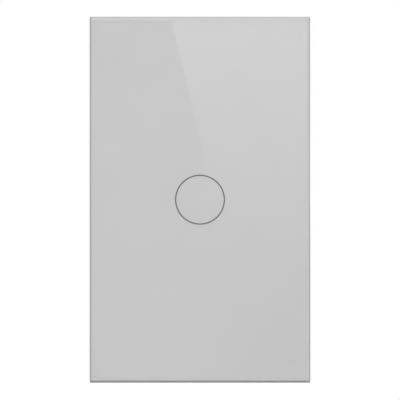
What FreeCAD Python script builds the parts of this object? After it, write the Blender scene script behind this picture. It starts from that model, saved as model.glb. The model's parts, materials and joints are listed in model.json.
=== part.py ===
"""Single-gang glass touch switch for a wall box, as an assembly of separate pieces.

Frame: X to the right, Y into the wall, Z up. The origin is on the wall plane, midway
between the two fixing slots. All sizes are in millimetres. The front faces -Y.
"""

import FreeCAD, Part

import math
import os

V = FreeCAD.Vector

# Front panel: glass, its printed back, tape and the carrier behind it
panel_width = 72.4
panel_height = 120.0
panel_projection = 10.0
glass_thickness = 4.0
glass_edge_radius = 1.5
paint_thickness = 0.15
paint_margin = 0.3
ring_diameter = 16.0
ring_line = 0.42
largest_edge_share = 0.8
tape_thickness = 0.5
tape_band = 6.0
tape_margin = 0.5
tape_corner = 0.5
carrier_inset = 0.6
carrier_wall = 1.6
carrier_plate = 1.2
carrier_corner = 1.0
wall_gap = 0.4
pry_width = 10.0
pry_height = 1.3
pin_diameter = 3.0
pin_length = 2.2
pin_inset = 6.8

# Snap hooks of the panel
hook_spacing = 40.0
hook_width = 6.0
hook_thickness = 1.1
hook_flex_gap = 0.7
hook_bite = 0.6
hook_barb_height = 0.65
hook_barb_land = 0.2
hook_running_gap = 0.1
hook_side_gap = 0.3

# Mounting strap and the frame moulded to stand on it
strap_thickness = 1.2
strap_margin = 3.6
strap_corner = 4.0
fixing_pitch = 83.6
fixing_slot_width = 4.2
fixing_slot_length = 6.2
fixing_pocket_width = 9.0
fixing_pocket_length = 10.4
panel_to_frame_gap = 0.2
frame_side_gap = 0.4
frame_corner = 2.0
neck_wall = 1.5
neck_corner = 2.2
tray_floor = 1.2
tray_ledge = 1.0
boss_cap = 1.0

# Inner cover over the sensor board
cover_gap = 0.65
cover_wall = 1.0
cover_overlap = 5.0
cover_window_gap = 1.0
cover_corner = 3.0
cover_rib_wall = 1.0
cover_fit_gap = 0.15

# Sensor board and what stands on it
sensor_board_thickness = 1.2
sensor_board_gap = 0.3
sensor_board_lift = 0.9
module_width = 20.0
module_length = 15.0
module_board_thickness = 0.8
module_headroom = 0.3
module_gap = 0.8
shield_width = 13.0
shield_length = 11.0
shield_height = 2.1
shield_wall = 0.2
shield_inset = 1.0
guide_wall = 1.2
guide_flange = 0.6
guide_flange_thickness = 0.8
guide_proud = 0.2
spring_diameter = 7.0
spring_wire = 0.5
spring_turns = 4
spring_samples = 24
led_size = 1.6
led_height = 0.6
led_count = 4
chip_width = 4.0
chip_length = 9.9
chip_height = 1.5
chip_lift = 0.1
chip_lead_inset = 0.5
chip_lead_count = 8
chip_lead_reach = 1.0
chip_lead_width = 0.4
chip_lead_thickness = 0.35
smd_pitch = 3.2
smd_length = 1.6
smd_width = 0.8
smd_height = 0.5
smd_columns = 7
smd_rows = 2
smd_row_pitch = 2.6
smd_start_gap = 2.4

# Connector between the two boards
board_spacing = 4.9
header_pitch = 2.0
header_columns = 5
header_rows = 2
header_rim = 0.5
header_inset = 1.5
header_base_height = 2.0
header_pin = 0.5
header_pin_gap = 0.05
header_pin_tail = 1.0
socket_slot_gap = 0.3
socket_floor = 0.5
pin_end_gap = 0.3

# Rear housing
housing_wall = 1.6
housing_corner = 3.0
housing_edge_radius = 1.2
post_diameter = 7.0
boss_diameter = 5.6
post_gap = 0.5
board_notch_gap = 0.4
vent_width = 1.5
vent_length = 12.0
vent_pitch = 3.4
vent_count = 6
side_vent_width = 0.8
side_vent_length = 20.0
side_vent_pitch = 2.2
side_vent_start = 3.0
side_vent_z = 5.8
rest_rib_width = 1.2
rest_rib_reach = 1.6
rest_rib_spacing = 27.0
standoff_diameter = 2.4
standoff_inset = 18.7

# Power board and its components
power_board_thickness = 1.6
power_board_gap = 0.3
component_gap = 1.3
component_headroom = 0.8
relay_width = 15.5
relay_length = 19.2
relay_height = 15.2
relay_case_wall = 0.8
relay_base_height = 1.6
relay_standoff = 0.2
relay_inner_gap = 0.2
relay_pin_diameter = 1.0
coil_diameter = 9.2
coil_inner_diameter = 5.2
core_diameter = 4.0
pole_lip = 1.2
pole_thickness = 0.8
spool_flange = 0.8
spool_rim = 0.3
yoke_thickness = 1.4
yoke_gap = 0.4
armature_room = 3.6
armature_thickness = 1.0
armature_swing = 4.0
armature_rest_gap = 0.15
armature_side_gap = 1.5
blade_thickness = 0.3
blade_width = 4.0
contact_button_diameter = 2.2
contact_button_height = 0.7
contact_rest_gap = 0.1
fixed_blade_thickness = 0.5
top_zone = 14.5
film_capacitor_width = 6.0
film_capacitor_length = 13.0
film_capacitor_height = 12.0
film_capacitor_edge = 0.4
film_capacitor_corner = 0.6
varistor_diameter = 9.0
varistor_thickness = 4.2
varistor_lift = 2.0
varistor_edge_share = 0.3
fuse_diameter = 4.0
fuse_length = 10.0
fuse_lift = 0.8
fuse_inset = 1.5
fuse_edge_share = 0.4
lead_diameter = 0.7
lead_reach = 0.8
transformer_width = 13.5
transformer_length = 14.0
transformer_height = 12.5
transformer_lift = 1.5
transformer_core_length = 6.4
transformer_limb = 3.0
transformer_side = 2.4
transformer_gap = 0.1
transformer_foot = 1.4
large_capacitor_diameter = 10.0
large_capacitor_height = 12.5
small_capacitor_diameter = 8.0
small_capacitor_height = 11.5
capacitor_edge = 0.6
capacitor_groove_height = 2.0
capacitor_groove_radius = 0.6
capacitor_groove_offset = 0.2
choke_diameter = 6.0
choke_height = 8.0
choke_waist_diameter = 4.8
choke_flange = 1.2
rectifier_size = 4.6
rectifier_height = 2.4
rectifier_lift = 0.1
rectifier_lead_reach = 1.0
rectifier_lead_width = 0.6
rectifier_lead_thickness = 0.3
solder_radius = 0.8
solder_height = 0.7
solder_inset = 1.4

# Terminal block: rising cages drawn up by screws
pole_count = 3
pole_pitch = 8.3
pole_web = 1.7
terminal_depth = 11.0
terminal_floor = 1.5
terminal_entry_wall = 1.5
terminal_recess = 0.2
terminal_edge = 0.4
terminal_window_gap = 0.25
cage_gap = 0.2
cage_wall = 0.8
cage_bar = 0.9
cage_nut = 2.0
cage_depth = 6.4
wire_space = 4.6
wire_least = 1.4
contact_thickness = 1.0
contact_side_gap = 0.3
contact_headroom = 0.5
contact_pin_width = 1.2
contact_tail = 0.8
contact_entry_hold = 0.5
clamp_screw_diameter = 3.0
clamp_head_diameter = 5.0
clamp_head_height = 2.0
clamp_head_gap = 0.2
clamp_head_recess = 0.9
clamp_slot_width = 0.9
clamp_edge = 0.3
clamp_headroom = 0.8
thread_gap = 0.05

# Fasteners
housing_screw_diameter = 2.6
housing_head_diameter = 5.0
housing_head_height = 1.9
housing_head_recess = 0.5
cover_screw_diameter = 2.0
cover_screw_head = 3.8
cover_screw_length = 3.4
strap_screw_diameter = 2.0
strap_screw_head = 3.8
strap_screw_length = 3.2
strap_screw_inset_x = 4.5
strap_screw_inset_z = 7.5
strap_window_gap = 0.4
screw_gap = 0.05
screw_end_gap = 0.3
recess_share = 0.6
recess_depth_share = 0.55
head_round_share = 0.45

# Cutters run this far past the face that they open, and joined solids this far into each other
past = 1.0
sink = 0.1

# How close to a face an edge's box has to end for the edge to count as lying in it
tolerance = 1e-6

# Places along Y, from the front of the glass to the back of the housing
glass_front = -panel_projection
glass_back = glass_front + glass_thickness
paint_back = glass_back + paint_thickness
carrier_front = paint_back + tape_thickness
carrier_plate_back = carrier_front + carrier_plate
carrier_back = -wall_gap
frame_front = carrier_plate_back + panel_to_frame_gap
frame_back = -strap_thickness
cover_front = paint_back + cover_gap
cover_back = frame_front
cover_ceiling = cover_front + cover_wall
module_height = module_board_thickness + shield_height
sensor_front = cover_ceiling + module_headroom + module_height
sensor_back = sensor_front + sensor_board_thickness
tray_front = sensor_back + sensor_board_lift
tray_back = tray_front + tray_floor
power_front = tray_back + board_spacing
power_back = power_front + power_board_thickness

# The clamp's stack sets the height of the terminal block
cage_travel = wire_space - wire_least
cage_open = power_back + terminal_floor + cage_gap / 2
wire_low = cage_open + cage_bar
contact_low = wire_low + wire_space
contact_high = contact_low + contact_thickness
nut_low = contact_high + contact_headroom
nut_high = nut_low + cage_nut
clamp_top_least = nut_high + cage_travel + clamp_headroom + clamp_head_height + clamp_head_recess

# The tallest component, or the block, sets the depth of the housing
tallest = max(
    relay_standoff + relay_height,
    film_capacitor_height,
    varistor_lift + varistor_diameter,
    fuse_lift + fuse_diameter,
    transformer_height,
    large_capacitor_height,
    small_capacitor_height,
    choke_height,
)
housing_back = max(
    power_back + tallest + component_headroom + housing_wall,
    clamp_top_least + terminal_recess,
)
housing_ceiling = housing_back - housing_wall
terminal_back = housing_back - terminal_recess
clamp_head_high = terminal_back - clamp_head_recess
clamp_head_low = clamp_head_high - clamp_head_height
terminal_ceiling = clamp_head_low - clamp_headroom / 2

# Widths and heights that follow from what each piece holds
carrier_width = panel_width - 2 * carrier_inset
carrier_height = panel_height - 2 * carrier_inset
carrier_inner_width = carrier_width - 2 * carrier_wall
carrier_inner_height = carrier_height - 2 * carrier_wall
frame_width = carrier_inner_width - 2 * frame_side_gap
frame_height = carrier_inner_height - 2 * frame_side_gap
pin_z = carrier_inner_height / 2 - pin_inset
pin_back = carrier_plate_back + pin_length
strap_width = frame_width - 2 * strap_margin
strap_height = frame_height - 2 * strap_margin

terminal_width = pole_count * pole_pitch + pole_web
header_width = header_columns * header_pitch + 2 * header_rim
header_length = header_rows * header_pitch + 2 * header_rim
housing_inner_width = terminal_width + 2 * (post_diameter + post_gap)
housing_inner_height = (
    power_board_gap
    + terminal_depth
    + component_gap
    + relay_length
    + component_gap
    + transformer_length
    + component_gap
    + top_zone
)
housing_width = housing_inner_width + 2 * housing_wall
housing_height = housing_inner_height + 2 * housing_wall
neck_width = housing_inner_width - 2 * screw_gap
neck_height = housing_inner_height - 2 * screw_gap
tray_width = neck_width - 2 * neck_wall
tray_height = neck_height - 2 * neck_wall
cover_width = neck_width + 2 * cover_overlap
cover_height = neck_height + 2 * cover_overlap
post_x = housing_inner_width / 2 - post_diameter / 2
post_z = housing_inner_height / 2 - post_diameter / 2
post_front = tray_back + screw_gap
boss_front = cover_back + cover_fit_gap
cover_screw_x = neck_width / 2 + cover_overlap / 2
cover_screw_z = neck_height / 2 + cover_overlap / 2
strap_screw_x = strap_width / 2 - strap_screw_inset_x
strap_screw_z = strap_height / 2 - strap_screw_inset_z

power_width = housing_inner_width - 2 * power_board_gap
power_height = housing_inner_height - 2 * power_board_gap
sensor_width = tray_width - 2 * sensor_board_gap
sensor_height = tray_height - 2 * sensor_board_gap
header_z = power_height / 2 - header_length / 2 - header_inset

terminal_low_z = -housing_inner_height / 2 + power_board_gap
terminal_high_z = terminal_low_z + terminal_depth
row_one_z = terminal_high_z + component_gap
row_two_z = row_one_z + relay_length + component_gap
row_left_x = -power_width / 2 + component_gap

guide_radius = ring_diameter / 2
guide_outer = guide_radius + guide_wall / 2
guide_inner = guide_radius - guide_wall / 2
guide_hole = guide_outer + cover_fit_gap


# Simple solids


def block(x0, x1, y0, y1, z0, z1):
    """A box between two corners."""
    return Part.makeBox(x1 - x0, y1 - y0, z1 - z0, V(x0, y0, z0))


def round_bar(radius, y0, y1, x=0.0, z=0.0):
    """A cylinder along Y."""
    return Part.makeCylinder(radius, y1 - y0, V(x, y0, z), V(0, 1, 0))


def tube(outer, inner, y0, y1, x=0.0, z=0.0):
    """A tube along Y."""
    return round_bar(outer, y0, y1, x, z).cut(round_bar(inner, y0 - past, y1 + past, x, z))


def plate(width, height, radius, y0, y1, x=0.0, z=0.0):
    """A flat plate across Y whose four corners are rounded."""
    r = min(radius, (width - sink) / 2, (height - sink) / 2)
    a, b = width / 2, height / 2
    s = r * (1 - math.sqrt(0.5))
    sides = []
    for i, (cx, cz) in enumerate(((1, 1), (-1, 1), (-1, -1), (1, -1))):
        along_z = V(x + cx * a, y0, z + cz * (b - r))
        along_x = V(x + cx * (a - r), y0, z + cz * b)
        middle = V(x + cx * (a - s), y0, z + cz * (b - s))
        ends = (along_z, along_x) if i % 2 == 0 else (along_x, along_z)
        sides.append((ends[0], middle, ends[1]))
    edges = []
    for i, (start, middle, end) in enumerate(sides):
        edges.append(Part.Arc(start, middle, end).toShape())
        edges.append(Part.LineSegment(end, sides[(i + 1) % 4][0]).toShape())
    face = Part.Face(Part.Wire(edges))
    return face.extrude(V(0, y1 - y0, 0))


def long_hole(width, length, y0, y1, x=0.0, z=0.0):
    """An obround whose long side runs along Z."""
    r = width / 2
    reach = length / 2 - r
    body = block(x - r, x + r, y0, y1, z - reach, z + reach)
    ends = [round_bar(r, y0, y1, x, z + s * reach) for s in (-1, 1)]
    return body.fuse(ends).removeSplitter()


def frame_plate(width, height, radius, hole_width, hole_height, hole_radius, y0, y1):
    """A plate with a rounded window through its middle."""
    window = plate(hole_width, hole_height, hole_radius, y0 - past, y1 + past)
    return plate(width, height, radius, y0, y1).cut(window)


def corners(x, z):
    """The four mirrored places of a point."""
    return [(sx * x, sz * z) for sx in (-1, 1) for sz in (-1, 1)]


def cross_recess(size, depth, y, x, z, side):
    """The cutter of a cross drive, sunk from y. side is the way the head faces along Y."""
    low, high = sorted((y - side * depth, y + side * depth))
    width = size / 4
    flat = block(x - size / 2, x + size / 2, low, high, z - width / 2, z + width / 2)
    upright = block(x - width / 2, x + width / 2, low, high, z - size / 2, z + size / 2)
    return flat.fuse(upright)


def pan_screw(shank, length, head, head_height, seat, x, z, side):
    """A pan head screw. Its head stands on the plane y = seat and faces side along Y."""
    axis = V(0, side, 0)
    body = Part.makeCylinder(head / 2, head_height, V(x, seat, z), axis)
    rim = [e for e in body.Edges if abs(e.BoundBox.YMin - seat - side * head_height) < tolerance]
    body = body.makeFillet(head_height * head_round_share, [e for e in rim if len(e.Vertexes) == 1])
    stem = Part.makeCylinder(shank / 2, length, V(x, seat, z), V(0, -side, 0))
    top = seat + side * head_height
    recess = cross_recess(head * recess_share, head_height * recess_depth_share, top, x, z, side)
    return body.fuse(stem).cut(recess)


def sunk_screw(shank, length, head, face, x, z, side):
    """A countersunk screw whose flat head is flush with the plane y = face."""
    cone_height = (head - shank) / 2
    axis = V(0, -side, 0)
    cone = Part.makeCone(head / 2, shank / 2, cone_height, V(x, face, z), axis)
    stem = Part.makeCylinder(shank / 2, length, V(x, face, z), axis)
    depth = cone_height * recess_depth_share
    return cone.fuse(stem).cut(cross_recess(head * recess_share, depth, face, x, z, side))


def sunk_hole(shank, length, head, face, x, z, side):
    """The hole for a countersunk screw, larger than it by screw_gap."""
    wide = head / 2 + screw_gap
    narrow = shank / 2 + screw_gap
    axis = V(0, -side, 0)
    start = V(x, face, z)
    cone = Part.makeCone(wide, narrow, wide - narrow, start, axis)
    lip = Part.makeCylinder(wide, past, start, V(0, side, 0))
    stem = Part.makeCylinder(narrow, length, start, axis)
    return cone.fuse([lip, stem])


# Front panel


def glass_panel():
    """Toughened glass sheet with a pencil-round front edge."""
    a, b = panel_width / 2, panel_height / 2
    sheet = block(-a, a, glass_front, glass_back, -b, b)
    front = [e for e in sheet.Edges if e.BoundBox.YMax < glass_front + tolerance]
    radius = min(glass_edge_radius, largest_edge_share * glass_thickness)
    return sheet.makeFillet(radius, front)


def ring_slot(grow=0.0):
    """The annular space of the printed ring, through the paint."""
    outer = (ring_diameter + ring_line) / 2 + grow
    inner = (ring_diameter - ring_line) / 2 - grow
    return tube(outer, inner, glass_back, paint_back)


def back_paint():
    """Grey enamel printed on the back of the glass, open where the ring is."""
    a, b = panel_width / 2 - paint_margin, panel_height / 2 - paint_margin
    return block(-a, a, glass_back, paint_back, -b, b).cut(ring_slot())


def panel_tape():
    """Adhesive tape frame between the printed glass and the carrier."""
    width = carrier_width - 2 * tape_margin
    height = carrier_height - 2 * tape_margin
    hole = (width - 2 * tape_band, height - 2 * tape_band)
    return frame_plate(width, height, tape_corner, *hole, tape_corner, paint_back, carrier_front)


def panel_carrier():
    """Moulded carrier: a plate with a window, a skirt towards the wall and two locating pins."""
    shell = plate(carrier_width, carrier_height, carrier_corner, carrier_front, carrier_back)
    hollow = plate(
        carrier_inner_width,
        carrier_inner_height,
        carrier_corner / 2,
        carrier_plate_back,
        carrier_back + past,
    )
    window = plate(
        cover_width + 2 * cover_window_gap,
        cover_height + 2 * cover_window_gap,
        cover_corner + cover_window_gap,
        carrier_front - past,
        carrier_plate_back + past,
    )
    bottom = -carrier_height / 2
    pry = block(
        -pry_width / 2,
        pry_width / 2,
        carrier_back - pry_height,
        carrier_back + past,
        bottom - past,
        bottom + carrier_wall + sink,
    )
    pins = [
        round_bar(pin_diameter / 2, carrier_plate_back, pin_back, 0, s * pin_z)
        for s in (-1, 1)
    ]
    return shell.cut([hollow, window, pry]).fuse(pins)


def hook_places():
    """Where each snap hook stands: its x, and the side of the panel it is on."""
    return [(sx * hook_spacing / 2, sz) for sx in (-1, 1) for sz in (-1, 1)]


hook_outer_z = carrier_inner_height / 2 - hook_flex_gap
hook_inner_z = hook_outer_z - hook_thickness
notch_z = hook_inner_z - hook_running_gap
hook_tip_z = notch_z - hook_bite


def carrier_hooks():
    """Snap fingers of the carrier, whose barbs lie behind the frame's edge."""
    back = frame_back + hook_running_gap / 2 + hook_barb_height
    hooks = []
    for x, side in hook_places():
        section = [
            V(x, carrier_plate_back, side * hook_outer_z),
            V(x, back, side * hook_outer_z),
            V(x, back, side * hook_inner_z),
            V(x, frame_back + hook_running_gap / 2 + hook_barb_land, side * hook_tip_z),
            V(x, frame_back + hook_running_gap / 2, side * hook_tip_z),
            V(x, frame_back + hook_running_gap / 2, side * hook_inner_z),
            V(x, carrier_plate_back, side * hook_inner_z),
        ]
        face = Part.Face(Part.makePolygon(section + section[:1]))
        face.translate(V(-hook_width / 2, 0, 0))
        hooks.append(face.extrude(V(hook_width, 0, 0)))
    return Part.makeCompound(hooks)


# Strap, frame and inner cover


def mounting_strap():
    """Stamped steel strap with two fixing slots, behind the moulded frame."""
    hole = [size + 2 * strap_window_gap for size in (housing_width, housing_height)]
    corner = housing_corner + strap_window_gap
    body = frame_plate(strap_width, strap_height, strap_corner, *hole, corner, frame_back, 0.0)
    slots = [
        long_hole(fixing_slot_width, fixing_slot_length, frame_back - past, past, 0, s * fixing_pitch / 2)
        for s in (-1, 1)
    ]
    holes = [
        sunk_hole(strap_screw_diameter, strap_screw_length, strap_screw_head, 0.0, x, z, 1)
        for x, z in corners(strap_screw_x, strap_screw_z)
    ]
    return body.cut(slots + holes)


def strap_screws():
    """Countersunk screws from the back that hold the strap to the frame."""
    return Part.makeCompound(
        [
            sunk_screw(strap_screw_diameter, strap_screw_length, strap_screw_head, 0.0, x, z, 1)
            for x, z in corners(strap_screw_x, strap_screw_z)
        ]
    )


def mounting_frame():
    """Moulded frame: a flat plate that carries the panel, and a tray that reaches through the strap."""
    body = plate(frame_width, frame_height, frame_corner, frame_front, frame_back)
    neck = plate(neck_width, neck_height, neck_corner, frame_front, tray_back)
    cavity = plate(tray_width, tray_height, neck_corner / 2, frame_front - past, tray_front)
    body = body.fuse(neck).cut(cavity)
    ledge = frame_plate(
        tray_width + screw_gap,
        tray_height + screw_gap,
        neck_corner / 2,
        tray_width - 2 * tray_ledge,
        tray_height - 2 * tray_ledge,
        neck_corner / 2,
        sensor_back,
        tray_front + screw_gap,
    )
    bosses = [
        round_bar(boss_diameter / 2, boss_front, tray_front + screw_gap, x, z)
        for x, z in corners(post_x, post_z)
    ]
    standoffs = [
        round_bar(standoff_diameter / 2, tray_back - screw_gap, power_front, x, z)
        for x, z in standoff_places()
    ]
    body = body.fuse([ledge] + bosses + standoffs)
    cuts = [
        long_hole(
            fixing_pocket_width,
            fixing_pocket_length,
            frame_front - past,
            frame_back + past,
            0,
            s * fixing_pitch / 2,
        )
        for s in (-1, 1)
    ]
    cuts += [
        round_bar(pin_diameter / 2 + hook_running_gap, frame_front - past, frame_back + past, 0, s * pin_z)
        for s in (-1, 1)
    ]
    cuts += [
        round_bar(
            housing_screw_diameter / 2 + screw_gap,
            boss_front + boss_cap,
            tray_back + past,
            x,
            z,
        )
        for x, z in corners(post_x, post_z)
    ]
    cuts += [
        round_bar(cover_screw_diameter / 2 + screw_gap, frame_front - past, cover_screw_hole_end, x, z)
        for x, z in corners(cover_screw_x, cover_screw_z)
    ]
    cuts += [
        round_bar(
            strap_screw_diameter / 2 + screw_gap,
            -strap_screw_length - screw_end_gap,
            frame_back + past,
            x,
            z,
        )
        for x, z in corners(strap_screw_x, strap_screw_z)
    ]
    cuts.append(socket_space(tray_front - past, tray_back + past))
    cuts += [notch_space(x, side) for x, side in hook_places()]
    return body.cut(cuts)


def socket_space(y0, y1):
    """The slot in the tray's floor for the board connector."""
    a = header_width / 2 + socket_slot_gap
    b = header_length / 2 + socket_slot_gap
    return block(-a, a, y0, y1, header_z - b, header_z + b)


def notch_space(x, side):
    """The notch in the frame's edge that a snap hook passes through."""
    a = hook_width / 2 + hook_side_gap
    low, high = sorted((side * notch_z, side * (frame_height / 2 + past)))
    return block(x - a, x + a, frame_front - past, frame_back + past, low, high)


def standoff_places():
    """Pegs on the tray's back that hold the power board against the housing's ribs."""
    return corners(power_width / 2 - standoff_diameter, power_height / 2 - standoff_inset)


cover_screw_hole_end = cover_front + cover_screw_length + screw_end_gap


def board_cover():
    """Moulded cover over the sensor board, with a round hole for the light guide."""
    body = plate(cover_width, cover_height, cover_corner, cover_front, cover_back)
    relief = plate(
        tray_width - 2 * cover_rib_wall,
        tray_height - 2 * cover_rib_wall,
        neck_corner / 2,
        cover_ceiling,
        cover_back + past,
    )
    rib = frame_plate(
        tray_width - 2 * cover_fit_gap,
        tray_height - 2 * cover_fit_gap,
        neck_corner / 2,
        tray_width - 2 * cover_rib_wall,
        tray_height - 2 * cover_rib_wall,
        neck_corner / 2,
        cover_ceiling,
        sensor_front - cover_fit_gap,
    )
    cuts = [
        round_bar(boss_diameter / 2 + board_notch_gap, cover_back, sensor_front, x, z)
        for x, z in corners(post_x, post_z)
    ]
    body = body.cut(relief).fuse(rib)
    cuts.append(round_bar(guide_hole, cover_front - past, cover_back + past))
    cuts += [
        sunk_hole(
            cover_screw_diameter,
            cover_screw_length,
            cover_screw_head,
            cover_front,
            x,
            z,
            -1,
        )
        for x, z in corners(cover_screw_x, cover_screw_z)
    ]
    return body.cut(cuts)


def cover_screws():
    """Countersunk screws that hold the inner cover to the frame."""
    return Part.makeCompound(
        [
            sunk_screw(
                cover_screw_diameter,
                cover_screw_length,
                cover_screw_head,
                cover_front,
                x,
                z,
                -1,
            )
            for x, z in corners(cover_screw_x, cover_screw_z)
        ]
    )


# Sensor board


def corner_notches(width, height, radius, x, z, y0, y1):
    """What is taken off a board's corners to clear the posts."""
    cuts = []
    for px, pz in corners(x, z):
        cuts.append(round_bar(radius, y0, y1, px, pz))
        x0, x1 = sorted((px, math.copysign(width / 2 + past, px)))
        z0, z1 = sorted((pz, math.copysign(height / 2 + past, pz)))
        r_x0, r_x1 = sorted((px - math.copysign(radius, px), math.copysign(width / 2 + past, px)))
        r_z0, r_z1 = sorted((pz - math.copysign(radius, pz), math.copysign(height / 2 + past, pz)))
        cuts.append(block(r_x0, r_x1, y0, y1, z0, z1))
        cuts.append(block(x0, x1, y0, y1, r_z0, r_z1))
    return cuts


def sensor_board():
    """Circuit board of the touch sensor, cut round the frame's bosses."""
    body = plate(sensor_width, sensor_height, 1.0, sensor_front, sensor_back)
    radius = boss_diameter / 2 + board_notch_gap
    span = (sensor_front - past, sensor_back + past)
    return body.cut(corner_notches(sensor_width, sensor_height, radius, post_x, post_z, *span))


def light_guide():
    """Clear acrylic tube that carries the lamps' light to the ring, with a flange under the cover."""
    back = sensor_front - led_height - screw_gap
    flange = tube(guide_outer + guide_flange, guide_inner, back - guide_flange_thickness, back)
    return tube(guide_outer, guide_inner, cover_front - guide_proud, back).fuse(flange)


def indicator_leds():
    """Small lamps on the sensor board, under the light guide."""
    lamps = []
    for i in range(led_count):
        turn = 2 * math.pi * (i + 0.5) / led_count
        x, z = guide_radius * math.cos(turn), guide_radius * math.sin(turn)
        h = led_size / 2
        lamps.append(block(x - h, x + h, sensor_front - led_height, sensor_front, z - h, z + h))
    return Part.makeCompound(lamps)


def biarc(start, start_way, end, end_way):
    """Two arcs that leave start along start_way and reach end along end_way, as edges."""
    v = end - start
    t = start_way + end_way
    k = 2 * (1 - start_way.dot(end_way))
    d = (-v.dot(t) + math.sqrt(v.dot(t) ** 2 + k * v.dot(v))) / k
    joint = (start + start_way * d + end - end_way * d) * 0.5
    edges = []
    for a, b, knee in ((start, joint, start + start_way * d), (joint, end, end - end_way * d)):
        chord_middle = (a + b) * 0.5
        rise = knee - chord_middle
        half = (b - a).Length / 2
        angle = math.atan2(rise.Length, half)
        middle = chord_middle + rise * (math.tan(angle / 2) / math.tan(angle))
        edges.append(Part.Arc(a, middle, b).toShape())
    return edges


def touch_spring():
    """Coil spring that joins the sensor board to the back of the glass, as one wire."""
    radius = (spring_diameter - spring_wire) / 2
    low = sensor_front - screw_gap - spring_wire / 2
    high = paint_back + screw_gap + spring_wire / 2
    steps = 4 * spring_turns
    rise = (high - low) / steps

    def place(i):
        turn = math.pi / 2 * i
        return V(radius * math.cos(turn), low + rise * i, radius * math.sin(turn))

    def way(i):
        turn = math.pi / 2 * i
        slope = rise / (math.pi / 2)
        return V(-radius * math.sin(turn), slope, radius * math.cos(turn)).normalize()

    edges = []
    for i in range(steps):
        edges += biarc(place(i), way(i), place(i + 1), way(i + 1))
    path = Part.Wire(edges)
    section = Part.Wire(Part.makeCircle(spring_wire / 2, place(0), way(0)))
    coil = path.makePipeShell([section], True, False)
    length = path.Length
    print(f"touch spring: length {length:.2f}, volume {coil.Volume:.3f}", end=" ")
    print(f"against {math.pi * spring_wire**2 / 4 * length:.3f}", end=" ")
    print(f"least gap {least_gap(path, spring_turns):.2f}")
    return coil


def least_gap(path, turns):
    """Least gap of the spring's wire to itself, measured on points that are half a turn or more apart."""
    points = path.discretize(Number=turns * spring_samples + 1)
    apart = spring_samples // 2
    return min(
        point.distanceToPoint(other)
        for i, point in enumerate(points)
        for other in points[i + apart :]
    ) - spring_wire


# The wireless module stands above the light guide, the touch chip below it
module_low_z = guide_outer + guide_flange + module_gap
chip_z = -(guide_outer + guide_flange + module_gap + chip_lead_reach + chip_width / 2)


def wireless_board():
    """Small board of the wireless module, soldered flat on the sensor board."""
    y1 = sensor_front
    return block(
        -module_width / 2,
        module_width / 2,
        y1 - module_board_thickness,
        y1,
        module_low_z,
        module_low_z + module_length,
    )


def wireless_shield():
    """Pressed tin shield over the wireless module's chips, open towards its board."""
    y1 = sensor_front - module_board_thickness
    y0 = y1 - shield_height
    x0 = -module_width / 2 + shield_inset
    z0 = module_low_z + (module_length - shield_length) / 2
    x1, z1 = x0 + shield_width, z0 + shield_length
    can = block(x0, x1, y0, y1, z0, z1)
    w = shield_wall
    return can.cut(block(x0 + w, x1 - w, y0 + w, y1 + past, z0 + w, z1 - w))


def touch_chip():
    """Touch controller in a small-outline package with gull-wing leads."""
    a, b = chip_length / 2, chip_width / 2
    y1 = sensor_front
    body = block(-a, a, y1 - chip_height, y1 - chip_lift, chip_z - b, chip_z + b)
    pitch = (chip_length - 2 * chip_lead_inset) / (chip_lead_count - 1)
    w = chip_lead_width / 2
    leads = []
    for i in range(chip_lead_count):
        x = -a + chip_lead_inset + i * pitch
        for side in (-1, 1):
            inner, outer = chip_z + side * (b - sink), chip_z + side * (b + chip_lead_reach)
            z0, z1 = sorted((inner, outer))
            leads.append(block(x - w, x + w, y1 - chip_lead_thickness, y1, z0, z1))
    return body.fuse(leads)


def sensor_passives():
    """Rows of small resistors and capacitors on the sensor board."""
    pieces = []
    a, b = smd_length / 2, smd_width / 2
    first_z = chip_z - chip_width / 2 - smd_start_gap
    for row in range(smd_rows):
        z = first_z - row * smd_row_pitch
        for i in range(smd_columns):
            x = (i - (smd_columns - 1) / 2) * smd_pitch
            pieces.append(block(x - a, x + a, sensor_front - smd_height, sensor_front, z - b, z + b))
    return Part.makeCompound(pieces)


# Connector between the boards


def header_places():
    """Where each pin of the board connector stands."""
    return [
        (
            (i - (header_columns - 1) / 2) * header_pitch,
            header_z + (j - (header_rows - 1) / 2) * header_pitch,
        )
        for i in range(header_columns)
        for j in range(header_rows)
    ]


header_base_front = power_front - header_base_height


def pin_space(x, z, y0, y1, grow):
    """A square prism round one pin."""
    h = header_pin / 2 + grow
    return block(x - h, x + h, y0, y1, z - h, z + h)


def board_socket():
    """Socket on the back of the sensor board."""
    a, b = header_width / 2, header_length / 2
    back = header_base_front - screw_gap
    body = block(-a, a, sensor_back, back, header_z - b, header_z + b)
    holes = [
        pin_space(x, z, sensor_back + socket_floor, back + past, header_pin_gap)
        for x, z in header_places()
    ]
    return body.cut(holes)


def board_header():
    """Insulating base of the pin header on the power board."""
    a, b = header_width / 2, header_length / 2
    body = block(-a, a, header_base_front, power_front, header_z - b, header_z + b)
    holes = [
        pin_space(x, z, header_base_front - past, power_front + past, header_pin_gap)
        for x, z in header_places()
    ]
    return body.cut(holes)


def header_pins():
    """Square pins that join the two boards."""
    front = sensor_back + socket_floor + pin_end_gap
    back = power_back + header_pin_tail
    return Part.makeCompound([pin_space(x, z, front, back, 0.0) for x, z in header_places()])


# Rear housing


def pole_places():
    """The middle of each pole of the terminal block, along X."""
    return [(i - (pole_count - 1) / 2) * pole_pitch for i in range(pole_count)]


def rest_rib_places():
    """Where the housing's ribs hold the power board's edge: the side, and the z."""
    half = rest_rib_spacing / 2
    return [(side, side_vent_z + s * half) for side in (-1, 1) for s in (-1, 1)]


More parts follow.
